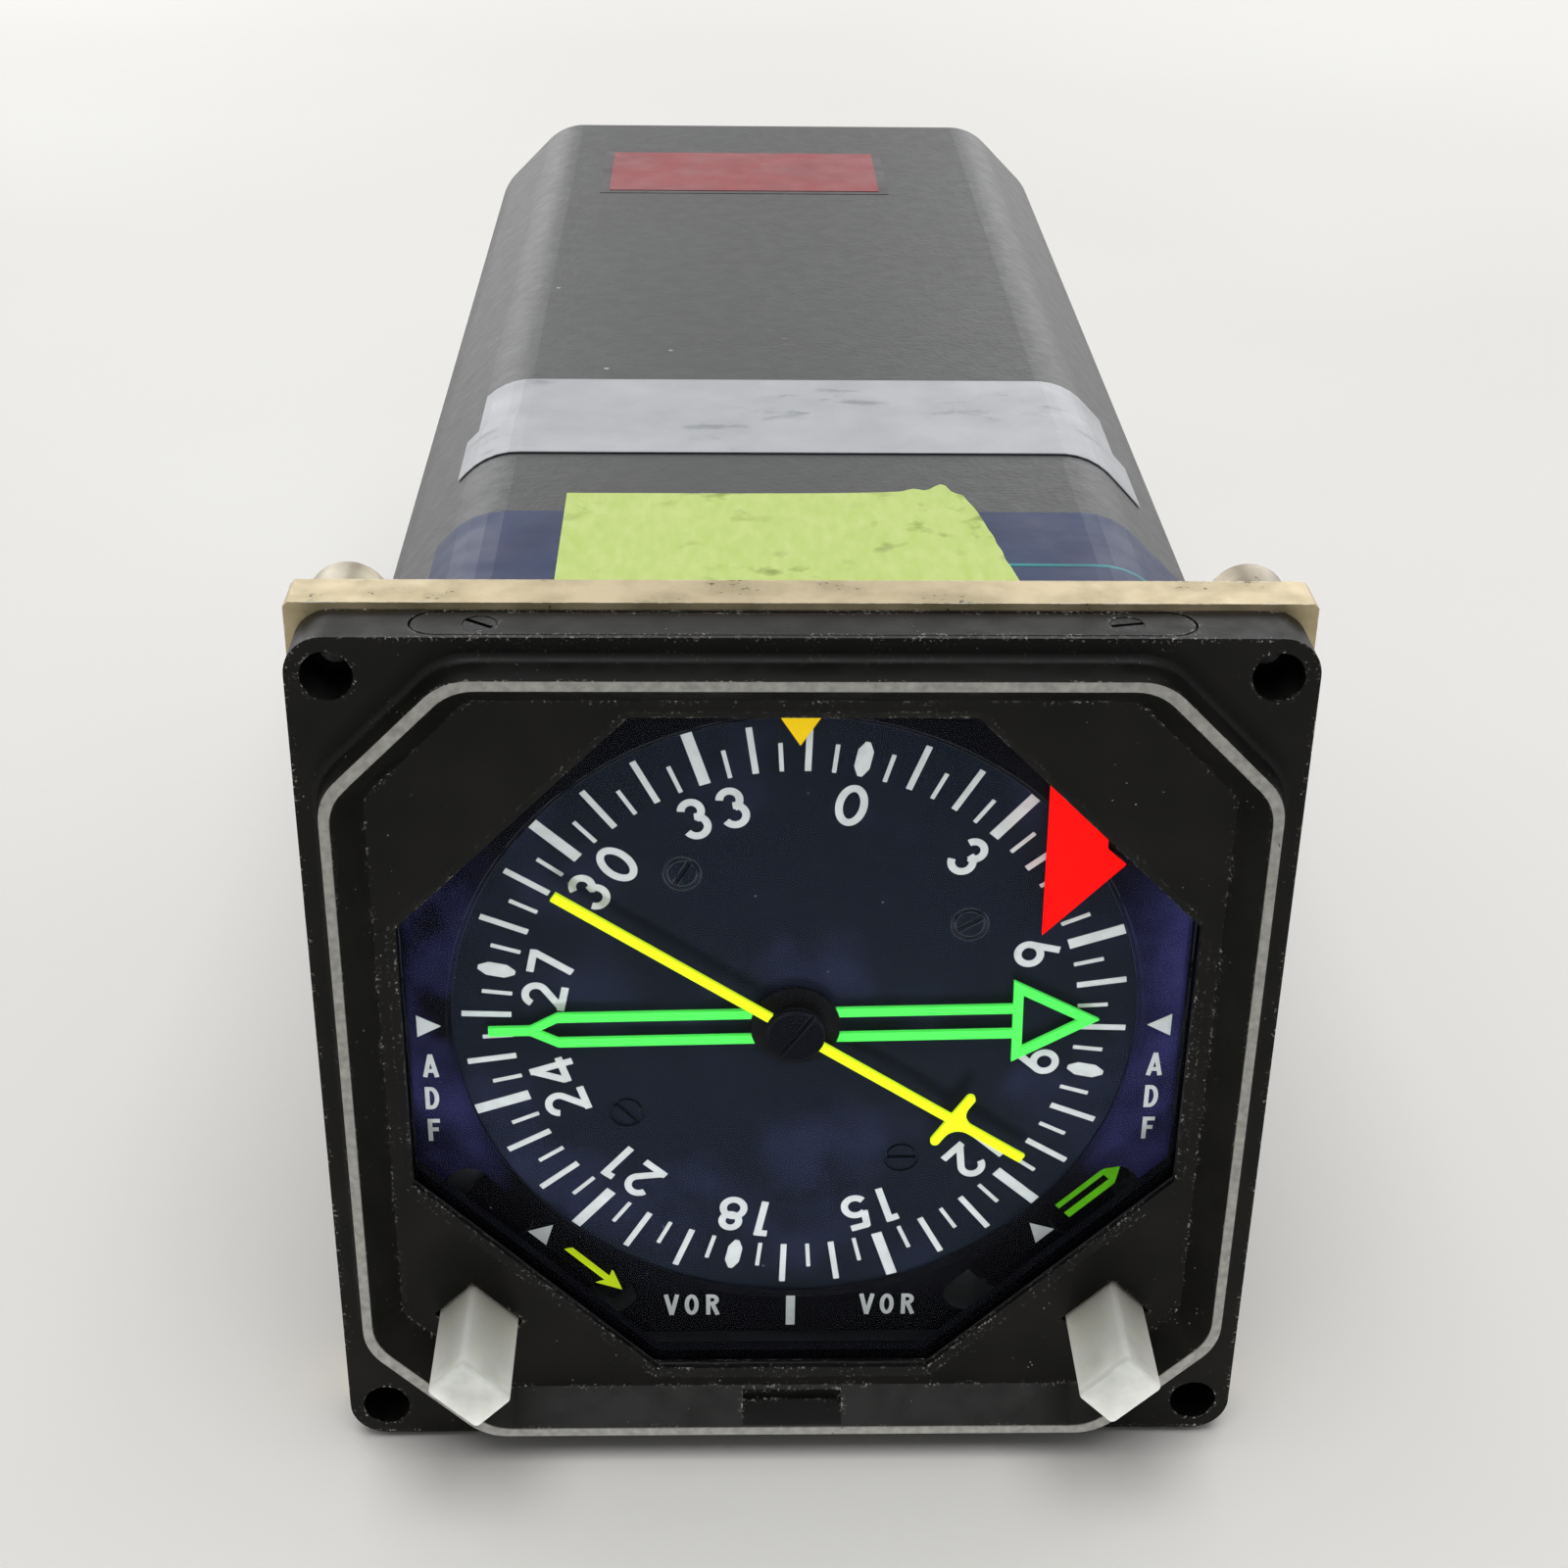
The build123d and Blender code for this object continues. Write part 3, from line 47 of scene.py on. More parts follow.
import bmesh
import bpy
from mathutils import Matrix, Vector, noise

# %% [markdown]
# Everything is drawn in metres, but a small instrument is easier to think
# about in millimetres. So sizes are written in millimetres and multiplied by
# this one value where they meet Blender.

# %% Millimetres
mm = 0.001
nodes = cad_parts


def low(node):
    """Lowest corner of a part of the frame, in millimetres."""
    return [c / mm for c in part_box(node)[0]]


def high(node):
    """Highest corner of a part of the frame, in millimetres."""
    return [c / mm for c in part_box(node)[1]]


print("bezel from", low("bezel"), "to", high("bezel"))

# %% [markdown]
# The camera comes first, because it settles what will show. A perspective fit
# of the photograph gave its place, how far it looks down, how far it is turned
# and how far it leans. A camera looks along its own -Z, so its axes are built
# from the viewing direction.

# %% Camera
camera_place = Vector((-6.8, -177.1, 124.2)) * mm
look_down = math.radians(28.41)
look_right = math.radians(1.70)
lean = math.radians(0.83)
sensor_width = 36.0
focal_pixels = 2515.0
image_pixels = 1600.0

forward = Vector((
    math.sin(look_right) * math.cos(look_down),
    math.cos(look_right) * math.cos(look_down),
    -math.sin(look_down),
))
level = Vector((math.cos(look_right), -math.sin(look_right), 0.0))
upright = level.cross(forward)
camera_x = level * math.cos(lean) + upright * math.sin(lean)
camera_y = upright * math.cos(lean) - level * math.sin(lean)

camera_data = bpy.data.cameras.new("camera")
camera_data.sensor_width = sensor_width
camera_data.sensor_fit = "HORIZONTAL"
camera_data.lens = sensor_width * focal_pixels / image_pixels
camera_data.clip_start = 10 * mm
camera_data.clip_end = 20.0
camera = bpy.data.objects.new("camera", camera_data)
bpy.context.collection.objects.link(camera)
axes = Matrix((camera_x, camera_y, -forward)).transposed()
camera.matrix_world = Matrix.Translation(camera_place) @ axes.to_4x4()
bpy.context.scene.camera = camera
print("focal length in mm:", round(camera_data.lens, 1))

# %% [markdown]
# Colours are given as sRGB hex values, while a shader works with
# linear light. One function turns the first into the second.

# %% Colour
def colour(hex_value):
    """Linear RGBA for an sRGB hex colour such as "2a2c2f"."""
    channels = [int(hex_value[i:i + 2], 16) / 255 for i in (0, 2, 4)]
    linear = [c / 12.92 if c <= 0.04045 else ((c + 0.055) / 1.055) ** 2.4 for c in channels]
    return (*linear, 1.0)


print("mid grey in linear light:", [round(c, 3) for c in colour("808080")])

# %% [markdown]
# Every material is a small network of nodes. One function adds a node, gives
# its settings and makes its links, so that each network reads from top to
# bottom like a list.

# %% One way to add a node
def add_node(tree, kind, settings=None, links=None):
    """Adds a node. A setting or link names an attribute, a socket or a socket's number."""
    node = tree.nodes.new(kind)
    for name, value in (settings or {}).items():
        if isinstance(name, str) and name not in node.inputs:
            setattr(node, name, value)
        else:
            node.inputs[name].default_value = value
    for name, output in (links or {}).items():
        tree.links.new(output, node.inputs[name])
    return node


def new_material(name, **settings):
    """A material with one Principled shader, and the sockets given by their own names."""
    material = bpy.data.materials.new(name)
    material.use_nodes = True
    material.node_tree.nodes.clear()
    named = {key.replace("_", " "): value for key, value in settings.items()}
    shader = add_node(material.node_tree, "ShaderNodeBsdfPrincipled", named)
    add_node(material.node_tree, "ShaderNodeOutputMaterial", links={"Surface": shader.outputs[0]})
    return material, material.node_tree, shader


print("shader sockets:", len(new_material("trial")[2].inputs))
bpy.data.materials.remove(bpy.data.materials["trial"])

# %% [markdown]
# Real surfaces are never even. Three patterns are used again and again: soft
# patches, small specks and a rough skin. Each reads Object coordinates, which
# are metres here, and its scale is worked out from a real size.

# %% Patches, specks and mixes
def place_on(tree):
    """The point of the surface, in metres."""
    return add_node(tree, "ShaderNodeTexCoord").outputs["Object"]


def distance_along(tree, axis):
    """The distance of the surface from the origin along one axis, in metres."""
    return add_node(tree, "ShaderNodeSeparateXYZ", links={0: place_on(tree)}).outputs[axis]


def ramp(tree, distance, start, end):
    """0 to 1 as a distance goes from start to end, both in millimetres."""
    limits = {"From Min": start * mm, "From Max": end * mm}
    return add_node(tree, "ShaderNodeMapRange", limits, {"Value": distance}).outputs[0]


def patches(tree, size, low_edge, high_edge, detail=3.0, stretch=None):
    """0 to 1 in soft patches of about this size in millimetres."""
    point = place_on(tree)
    if stretch:
        mapping = add_node(tree, "ShaderNodeMapping", {"Scale": stretch}, {"Vector": point})
        point = mapping.outputs[0]
    cloud = add_node(tree, "ShaderNodeTexNoise",
                     {"Scale": 1 / (size * mm), "Detail": detail}, {"Vector": point})
    limits = {"From Min": low_edge, "From Max": high_edge}
    return add_node(tree, "ShaderNodeMapRange", limits, {"Value": cloud.outputs[0]}).outputs[0]


def specks(tree, spacing, share):
    """1 in the middle of scattered specks, about one in each cell of this many millimetres."""
    cells = add_node(tree, "ShaderNodeTexVoronoi", {"Scale": 1 / (spacing * mm)},
                     {"Vector": place_on(tree)})
    limits = {"From Min": share, "From Max": share * 0.5}
    return add_node(tree, "ShaderNodeMapRange", limits, {"Value": cells.outputs[0]}).outputs[0]


def times(tree, a, b):
    """Product of two values."""
    return add_node(tree, "ShaderNodeMath", {"operation": "MULTIPLY"}, {0: a, 1: b}).outputs[0]


def mixed(tree, factor, first, second):
    """Colour that goes from first to second. Each is a socket or a colour."""
    mix = add_node(tree, "ShaderNodeMix", {"data_type": "RGBA"}, {0: factor})
    for number, value in ((6, first), (7, second)):
        if isinstance(value, tuple):
            mix.inputs[number].default_value = value
        else:
            tree.links.new(value, mix.inputs[number])
    return mix.outputs[2]


def roughened(tree, shader, factor, smooth, rough):
    """Drives the shader's roughness by a factor."""
    span = add_node(tree, "ShaderNodeMapRange", {"To Min": smooth, "To Max": rough},
                    {"Value": factor})
    tree.links.new(span.outputs[0], shader.inputs["Roughness"])


def bumped(tree, shader, height, depth, strength):
    """Turns a 0 to 1 height into dents of this depth in millimetres."""
    settings = {"Strength": strength, "Distance": depth * mm}
    bump = add_node(tree, "ShaderNodeBump", settings, {"Height": height})
    tree.links.new(bump.outputs[0], shader.inputs["Normal"])


print("patterns ready")

# %% [markdown]
# Paint wears first along the edges. The Bevel node rounds the normals near an
# edge, so where its normal and the true one disagree there is an edge. The
# share by which they differ becomes a mask, and noise breaks it into chips.

# %% Edge mask
def worn_edges(tree, radius, chip_size, amount):
    """1 along sharp edges, broken into chips of about this size in millimetres."""
    rounded = add_node(tree, "ShaderNodeBevel", {"samples": 6, "Radius": radius * mm})
    true = add_node(tree, "ShaderNodeNewGeometry")
    agree = add_node(tree, "ShaderNodeVectorMath", {"operation": "DOT_PRODUCT"},
                     {0: rounded.outputs[0], 1: true.outputs["Normal"]})
    edge = add_node(tree, "ShaderNodeMapRange", {"From Min": 0.985, "From Max": 0.90},
                    {"Value": agree.outputs["Value"]})
    return times(tree, edge.outputs[0], patches(tree, chip_size, 1 - amount, 1.06 - amount, 4.0))


print("edge mask ready")

# %% [markdown]
# The bezel is cast aluminium with baked black enamel. The enamel is satin and
# slightly pebbled. Its raised rim has been rubbed for years: the black is gone
# from the flat top of the rim, and grey oxidised metal shows. That band is
# found by depth, because the rim is the foremost flat of the bezel.

# %% Black enamel of the bezel
rim_front = low("bezel")[1]


def make_bezel_enamel():
    material, tree, shader = new_material("black_enamel", Specular_IOR_Level=0.14)
    black = mixed(tree, patches(tree, 6.0, 0.35, 0.7), colour("080807"), colour("100f0e"))
    dust = times(tree, specks(tree, 0.9, 0.08), patches(tree, 5.0, 0.52, 0.62))
    dusty = mixed(tree, dust, black, colour("a09e98"))
    worn = mixed(tree, worn_edges(tree, 0.35, 0.7, 0.42), dusty, colour("5f5d58"))
    chips = times(tree, worn_edges(tree, 0.9, 0.3, 0.42), patches(tree, 4.0, 0.46, 0.56))
    chipped = mixed(tree, chips, worn, colour("a19e96"))
    on_rim = ramp(tree, distance_along(tree, "Y"), rim_front + 0.10, rim_front + 0.03)
    wear_and_highlight = times(tree, on_rim, patches(tree, 0.7, 0.20, 0.30, 5.0))
    metal = mixed(tree, patches(tree, 0.8, 0.3, 0.7, 5.0), colour("72716d"), colour("8f8e89"))
    tree.links.new(mixed(tree, wear_and_highlight, chipped, metal), shader.inputs["Base Color"])
    roughened(tree, shader, patches(tree, 3.0, 0.3, 0.7), 0.36, 0.52)
    bumped(tree, shader, patches(tree, 0.35, 0.2, 0.8, 2.0), 0.02, 0.35)
    return material


bezel_enamel = make_bezel_enamel()
print("made", bezel_enamel.name)

# %% [markdown]
# The case is a drawn aluminium can with hammered charcoal paint. The paint has
# a coarse skin, so at a glancing angle it mirrors the lamps behind it softly:
# that is what makes the slanted sides look light while the top looks dark.

# %% Hammered paint of the case
def make_case_paint():
    material, tree, shader = new_material("hammered_charcoal_paint", Specular_IOR_Level=0.5)
    ground = mixed(tree, patches(tree, 22.0, 0.35, 0.65), colour("18191b"), colour("1c1e20"))
    scuffed = mixed(tree, times(tree, patches(tree, 2.5, 0.60, 0.68, 6.0, (1.0, 0.3, 1.0)),
                                patches(tree, 30.0, 0.55, 0.65)),
                    ground, colour("17181a"))
    dust = times(tree, specks(tree, 7.0, 0.05), patches(tree, 14.0, 0.5, 0.6))
    dusty = mixed(tree, dust, scuffed, colour("a7a6a2"))
    chipped = mixed(tree, worn_edges(tree, 0.6, 1.2, 0.36), dusty, colour("6c6c6b"))
    tree.links.new(chipped, shader.inputs["Base Color"])
    roughened(tree, shader, patches(tree, 2.0, 0.3, 0.7), 0.44, 0.5)
    bumped(tree, shader, patches(tree, 0.7, 0.25, 0.75, 3.0), 0.05, 0.5)
    return material


case_paint = make_case_paint()
print("made", case_paint.name)

# %% [markdown]
# The mounting flange is machined aluminium with a thin chromate film, the
# pale gold of aircraft hardware. Machining left faint lines, and handling left
# darker stains. Round its opening it is painted black, so that no bright metal
# shows beside the dial, and painted shade makes the screw bores near black. Both are
# found by place: painted_half is half the side of the painted square.

# %% Chromated aluminium
screw_half = 38.1
bore_reach = 2.35
metal_share = 0.75


def in_bores(tree):
    """1 inside the four screw bores."""
    bore_axis = {"operation": "SUBTRACT", 1: (screw_half * mm, 0.0, screw_half * mm)}
    corner = add_node(tree, "ShaderNodeVectorMath", {"operation": "ABSOLUTE"}, {0: place_on(tree)})
    offset = add_node(tree, "ShaderNodeVectorMath", bore_axis, {0: corner.outputs[0]})
    flat = add_node(tree, "ShaderNodeVectorMath", {"operation": "MULTIPLY", 1: (1.0, 0.0, 1.0)},
                    {0: offset.outputs[0]})
    reach = add_node(tree, "ShaderNodeVectorMath", {"operation": "LENGTH"}, {0: flat.outputs[0]})
    return ramp(tree, reach.outputs["Value"], bore_reach + 0.05, bore_reach - 0.05)


def make_chromate(name, pale, stained, roughness, painted_half=0.0):
    material, tree, shader = new_material(name, Metallic=metal_share)
    tone = mixed(tree, patches(tree, 5.0, 0.38, 0.66, 5.0), colour(pale), colour(stained))
    stains = times(tree, patches(tree, 0.6, 0.60, 0.66, 4.0), patches(tree, 5.0, 0.56, 0.64))
    spotted = mixed(tree, stains, tone, colour("4a4334"))
    chipped = mixed(tree, worn_edges(tree, 0.25, 0.8, 0.5), spotted, colour("cfc9bb"))
    if painted_half:
        far = [add_node(tree, "ShaderNodeMath", {"operation": "ABSOLUTE"},
                        {0: distance_along(tree, axis)}) for axis in ("X", "Z")]
        reach = add_node(tree, "ShaderNodeMath", {"operation": "MAXIMUM"},
                         {0: far[0].outputs[0], 1: far[1].outputs[0]})
        inside = ramp(tree, reach.outputs[0], painted_half + 0.05, painted_half - 0.05)
        chipped = mixed(tree, inside, chipped, colour("0c0c0d"))
        metal = add_node(tree, "ShaderNodeMapRange", {"To Min": metal_share, "To Max": 0.0},
                         {"Value": inside})
        tree.links.new(metal.outputs[0], shader.inputs["Metallic"])
    # Painted shade: the screw bores are coloured near black, as shade falls in them.
    bore_shade = mixed(tree, in_bores(tree), chipped, colour("090909"))
    tree.links.new(bore_shade, shader.inputs["Base Color"])
    roughened(tree, shader, patches(tree, 2.0, 0.3, 0.7), roughness - 0.07, roughness + 0.08)
    lines = patches(tree, 0.5, 0.3, 0.7, 2.0, (0.06, 1.0, 1.0))
    bumped(tree, shader, lines, 0.008, 0.4)
    return material


flange_chromate = make_chromate("chromated_aluminium", "beaf8d", "9f9270", 0.42, 39.0)
nut_plating = make_chromate("cadmium_plated_steel", "a09784", "7e7462", 0.38)
print("made", flange_chromate.name, "and", nut_plating.name)

# %% [markdown]
# The window is a plate of clear glass. Its faces are coated so that they mirror
# almost nothing, as on any cockpit dial, and a low refractive index gives that.
# A glass shader alone would keep the lamps out, because light reaches what is
# behind it only by chance. So rays that carry shadows meet a transparent shader
# instead: that is Light Path's Is Shadow Ray, and the dial stays lit.

# %% Window glass
def make_window_glass():
    material, tree, shader = new_material(
        "coated_window_glass", Base_Color=colour("f4f7fa"), Roughness=0.0, IOR=1.1,
        Transmission_Weight=1.0,
    )
    path = add_node(tree, "ShaderNodeLightPath")
    clear = add_node(tree, "ShaderNodeBsdfTransparent", {"Color": colour("f0f4f8")})
    mix = add_node(tree, "ShaderNodeMixShader", links={
        0: path.outputs["Is Shadow Ray"], 1: shader.outputs[0], 2: clear.outputs[0]})
    output = next(n for n in tree.nodes if n.type == "OUTPUT_MATERIAL")
    tree.links.new(mix.outputs[0], output.inputs["Surface"])
    return material


window_glass = make_window_glass()
print("made", window_glass.name)

# %% [markdown]
# The compass card and the mask round it are aluminium with dead black lacquer
# that has a blue cast. Age and the inside of the glass add a thin violet haze
# in clouds, and grains of dust. On the mask the violet is a painted sheen that
# shows only at the two sides, so its share grows with the distance from the middle.
# A painted highlight lightens the edges in the upper half, fully from a little above the middle.

# %% Dial lacquer
sheen_width = 8.0
highlight_start = -4.0
highlight_full = 12.0


def make_lacquer(name, dark, haze, haze_edge, sheen_from=None):
    material, tree, shader = new_material(name, Specular_IOR_Level=0.03)
    share = patches(tree, 11.0, haze_edge, haze_edge + 0.3, 4.0)
    # Painted sheen: on the mask the violet haze shows only towards the two sides.
    if sheen_from:
        out = add_node(tree, "ShaderNodeMath", {"operation": "ABSOLUTE"},
                       {0: distance_along(tree, "X")})
        sheen_at_sides = ramp(tree, out.outputs[0], sheen_from, sheen_from + sheen_width)
        share = times(tree, share, sheen_at_sides)
    clouded = mixed(tree, share, colour(dark), colour(haze))
    dust = times(tree, specks(tree, 2.6, 0.06), patches(tree, 7.0, 0.52, 0.6))
    dusty = mixed(tree, dust, clouded, colour("6a6c78"))
    # Painted highlight: the edges of the upper half are lightened.
    upper = ramp(tree, distance_along(tree, "Z"), highlight_start, highlight_full)
    wear_and_highlight = times(tree, worn_edges(tree, 0.25, 2.0, 0.62), upper)
    tree.links.new(mixed(tree, wear_and_highlight, dusty, colour("4b4d55")), shader.inputs["Base Color"])
    roughened(tree, shader, patches(tree, 8.0, 0.3, 0.7), 0.5, 0.62)
    bumped(tree, shader, patches(tree, 0.4, 0.2, 0.8, 2.0), 0.01, 0.25)
    return material


card_lacquer = make_lacquer("card_lacquer", "181c25", "2a2e44", 0.52)
mask_lacquer = make_lacquer("mask_lacquer", "08080d", "3a3868", 0.38, 26.0)
disc_lacquer = make_lacquer("disc_lacquer", "0b0b10", "0d0d14", 0.42)
print("made", card_lacquer.name, mask_lacquer.name, disc_lacquer.name)

# %% [markdown]
# Figures and marks are silk-screened white ink, which is matt and slightly
# uneven. The pointers and flag carry day-glow paint. It turns violet light into
# its own colour, so it looks brighter than any plain paint: a small emission of
# the same colour gives that.

# %% Inks and day-glow paints
def make_paint(name, main, worn, roughness, glow=0.0):
    material, tree, shader = new_material(name, Emission_Strength=glow, Specular_IOR_Level=0.1)
    tone = mixed(tree, patches(tree, 1.2, 0.3, 0.7, 4.0), colour(main), colour(worn))
    tree.links.new(tone, shader.inputs["Base Color"])
    shader.inputs["Emission Color"].default_value = colour(main)
    roughened(tree, shader, patches(tree, 2.4, 0.3, 0.7), roughness - 0.05, roughness + 0.05)
    bumped(tree, shader, patches(tree, 0.2, 0.2, 0.8, 2.0), 0.006, 0.3)
    return material


white_ink = make_paint("white_ink", "d7d7d1", "c8c8c2", 0.6)
lubber_paint = make_paint("yellow_enamel", "f0c410", "e6ba0c", 0.5, 0.25)
red_paint = make_paint("day_glow_red", "f50300", "eb0200", 0.55, 0.6)
leaf_paint = make_paint("day_glow_leaf_green", "74e01c", "66cc18", 0.55, 0.25)
print("made", white_ink.name, lubber_paint.name, red_paint.name, leaf_paint.name)

# %% [markdown]
# Each pointer is one stamped blade, coloured only outside its hub. The hub is
# sprayed black, so the material asks how far a point is from the dial axis.

# %% Pointers with a black hub
def make_pointer_paint(name, bright, hub_radius, glow):
    material = make_paint(name, bright, bright, 0.5, glow)
    tree = material.node_tree
    shader = next(n for n in tree.nodes if n.type == "BSDF_PRINCIPLED")
    flat = add_node(tree, "ShaderNodeMapping", {"Scale": (1.0, 0.0, 1.0)},
                    {"Vector": place_on(tree)})
    reach = add_node(tree, "ShaderNodeVectorMath", {"operation": "LENGTH"}, {0: flat.outputs[0]})
    outside = ramp(tree, reach.outputs["Value"], hub_radius - 0.03, hub_radius + 0.03)
    tone = mixed(tree, outside, colour("0d0d0f"), colour(bright))
    tree.links.new(tone, shader.inputs["Base Color"])
    light = mixed(tree, outside, colour("000000"), colour(bright))
    tree.links.new(light, shader.inputs["Emission Color"])
    return material


green_paint = make_pointer_paint("day_glow_green", "4ee254", 4.05, 0.42)
yellow_paint = make_pointer_paint("day_glow_yellow", "d6f01c", 2.78, 0.45)
print("made", green_paint.name, "and", yellow_paint.name)

# %% [markdown]
# The push buttons are moulded acrylic, milky white and translucent. Light goes
# several millimetres into it, which subsurface scattering gives and which
# softens its edges. Painted shade makes it darker and warmer towards the slot,
# and a little darker on its end, and it is pale along the edges.

# %% Milky acrylic
slot_side = -1.0
unshaded_side = -8.0
button_end = low("left_button")[1]


def make_acrylic():
    material, tree, shader = new_material(
        "milky_acrylic", Subsurface_Weight=1.0, Subsurface_Scale=8 * mm, IOR=1.49,
        Specular_IOR_Level=0.3,
    )
    shader.inputs["Subsurface Radius"].default_value = (1.0, 0.95, 0.85)
    # Painted shade: darker and warmer towards the slot, and darker on the end.
    depth = distance_along(tree, "Y")
    outer = ramp(tree, depth, slot_side, unshaded_side)
    sides = mixed(tree, outer, colour("b7b6ab"), colour("d3d5d1"))
    end_shade = ramp(tree, depth, button_end + 0.9, button_end + 0.2)
    tone = mixed(tree, end_shade, sides, colour("a9aba7"))
    clouded = mixed(tree, times(tree, patches(tree, 3.0, 0.35, 0.7), outer), tone, colour("c2c4bf"))
    edged = mixed(tree, worn_edges(tree, 0.3, 3.0, 0.7), clouded, colour("f2f3f1"))
    tree.links.new(edged, shader.inputs["Base Color"])
    roughened(tree, shader, patches(tree, 1.5, 0.3, 0.7), 0.28, 0.4)
    bumped(tree, shader, patches(tree, 0.3, 0.2, 0.8, 2.0), 0.01, 0.3)
    return material


milky_acrylic = make_acrylic()
print("made", milky_acrylic.name)

# %% [markdown]
# Inside, and at the back, are plain engineering finishes. One function makes a
# metal from its colour and the direction of its machining lines, another makes
# a moulded plastic or a board.

# %% Metals
def make_metal(name, pale, dark, roughness, stretch):
    material, tree, shader = new_material(name, Metallic=1.0)
    tone = mixed(tree, patches(tree, 3.0, 0.3, 0.7, 4.0), colour(pale), colour(dark))
    tree.links.new(tone, shader.inputs["Base Color"])
    lines = patches(tree, 0.4, 0.3, 0.7, 2.0, stretch)
    roughened(tree, shader, lines, roughness - 0.08, roughness + 0.1)
    bumped(tree, shader, lines, 0.006, 0.3)
    return material


turned = (1.0, 0.1, 1.0)
cast = (1.0, 1.0, 1.0)
bright_steel = make_metal("turned_steel", "a9a9a6", "8d8d8a", 0.35, turned)
dark_steel = make_metal("blackened_steel", "2c2c2d", "1d1d1e", 0.45, cast)
gear_brass = make_metal("cut_brass", "c9a45c", "a98645", 0.32, cast)
plate_aluminium = make_metal("milled_aluminium", "c6c7c8", "adaeb0", 0.4, (0.1, 1.0, 1.0))
shell_plating = make_metal("olive_cadmium_plating", "6a6a4c", "52533a", 0.42, cast)
contact_gold = make_metal("gold_plated_contact", "e3bd62", "cfa64c", 0.22, turned)
print("made 6 metals")

# %% Plastics, boards and lamps
def make_plain(name, main, second, roughness, size=2.0):
    material, tree, shader = new_material(name)
    tone = mixed(tree, patches(tree, size, 0.35, 0.65), colour(main), colour(second))
    tree.links.new(tone, shader.inputs["Base Color"])
    roughened(tree, shader, patches(tree, size, 0.3, 0.7), roughness - 0.06, roughness + 0.06)
    bumped(tree, shader, patches(tree, 0.3, 0.2, 0.8, 2.0), 0.01, 0.3)
    return material


black_phenolic = make_plain("black_phenolic", "1a1918", "242220", 0.5)
gasket_rubber = make_plain("gasket_rubber", "121212", "1c1c1c", 0.75)
board_laminate = make_plain("green_board_laminate", "1d5b33", "174a2a", 0.35, 4.0)
lamp_envelope = make_plain("frosted_lamp_glass", "e8e2cf", "d9d2bd", 0.3)
print("made 4 plastics and glass")

# %% [markdown]
# Each part of the frame now takes its finish. The parts keep their own shape
# and place: only the material in their slots changes.

# %% Finish of each part
finishes = {
    bezel_enamel: ["bezel", "lamp_cover"],
    case_paint: ["case_shell"],
    flange_chromate: ["mounting_flange"],
    nut_plating: ["anchor_nuts"],
    window_glass: ["front_glass"],
    card_lacquer: ["compass_card", "card_screws"],
    mask_lacquer: ["dial_mask"],
    disc_lacquer: ["glass_retainer", "left_source_disc", "right_source_disc", "pointer_cap"],
    white_ink: ["card_ticks", "index_marks"],
    lubber_paint: ["lubber_mark"],
    red_paint: ["warning_flag"],
    green_paint: ["double_pointer"],
    leaf_paint: ["right_source_symbol"],
    yellow_paint: ["single_pointer", "left_source_symbol"],
    milky_acrylic: ["left_button", "right_button"],
    dark_steel: ["lamp_cover_screws", "connector_screws"],
    bright_steel: ["card_pinion", "double_pinion", "double_tube", "single_shaft", "card_motor",
                   "double_synchro", "single_synchro", "source_solenoids",
                   "left_button_spring", "right_button_spring"],
    gear_brass: ["card_gear", "double_gear", "card_bush"],
    plate_aluminium: ["front_plate", "middle_plate", "rear_plate", "end_plate", "mask_posts",
                      "chassis_posts", "flag_movement"],
    shell_plating: ["connector_shell"],
    contact_gold: ["connector_pins"],
    black_phenolic: ["connector_insert", "button_switches"],
    gasket_rubber: ["glass_gasket"],
    board_laminate: ["amplifier_board", "power_board"],
    lamp_envelope: ["dial_lamps"],
}
finished = set()
for material, names in finishes.items():
    for name in names:
        part = nodes[name]
        part.data.materials.clear()
        part.data.materials.append(material)
        finished.add(name)
print("parts finished:", len(finished), "left:", sorted(set(nodes) - finished))

# %% [markdown]
# Figures on the card are drawn as a sign painter would, with a broad nib. Each
# figure is a few strokes, and each stroke is a path of points that the nib
# follows. That gives every stroke the same width, as the real figures have,
# which a font built into Blender doesn't match.

# %% Paths of the figures
def arc(centre_x, centre_y, radius_x, start, end, radius_y=None):
    """Points along an arc, from one angle in degrees to another."""
    radius_y = radius_x if radius_y is None else radius_y
    count = max(3, int(abs(end - start) / 12) + 1)
    angles = [math.radians(start + (end - start) * k / (count - 1)) for k in range(count)]
    return [(centre_x + radius_x * math.cos(a), centre_y + radius_y * math.sin(a)) for a in angles]


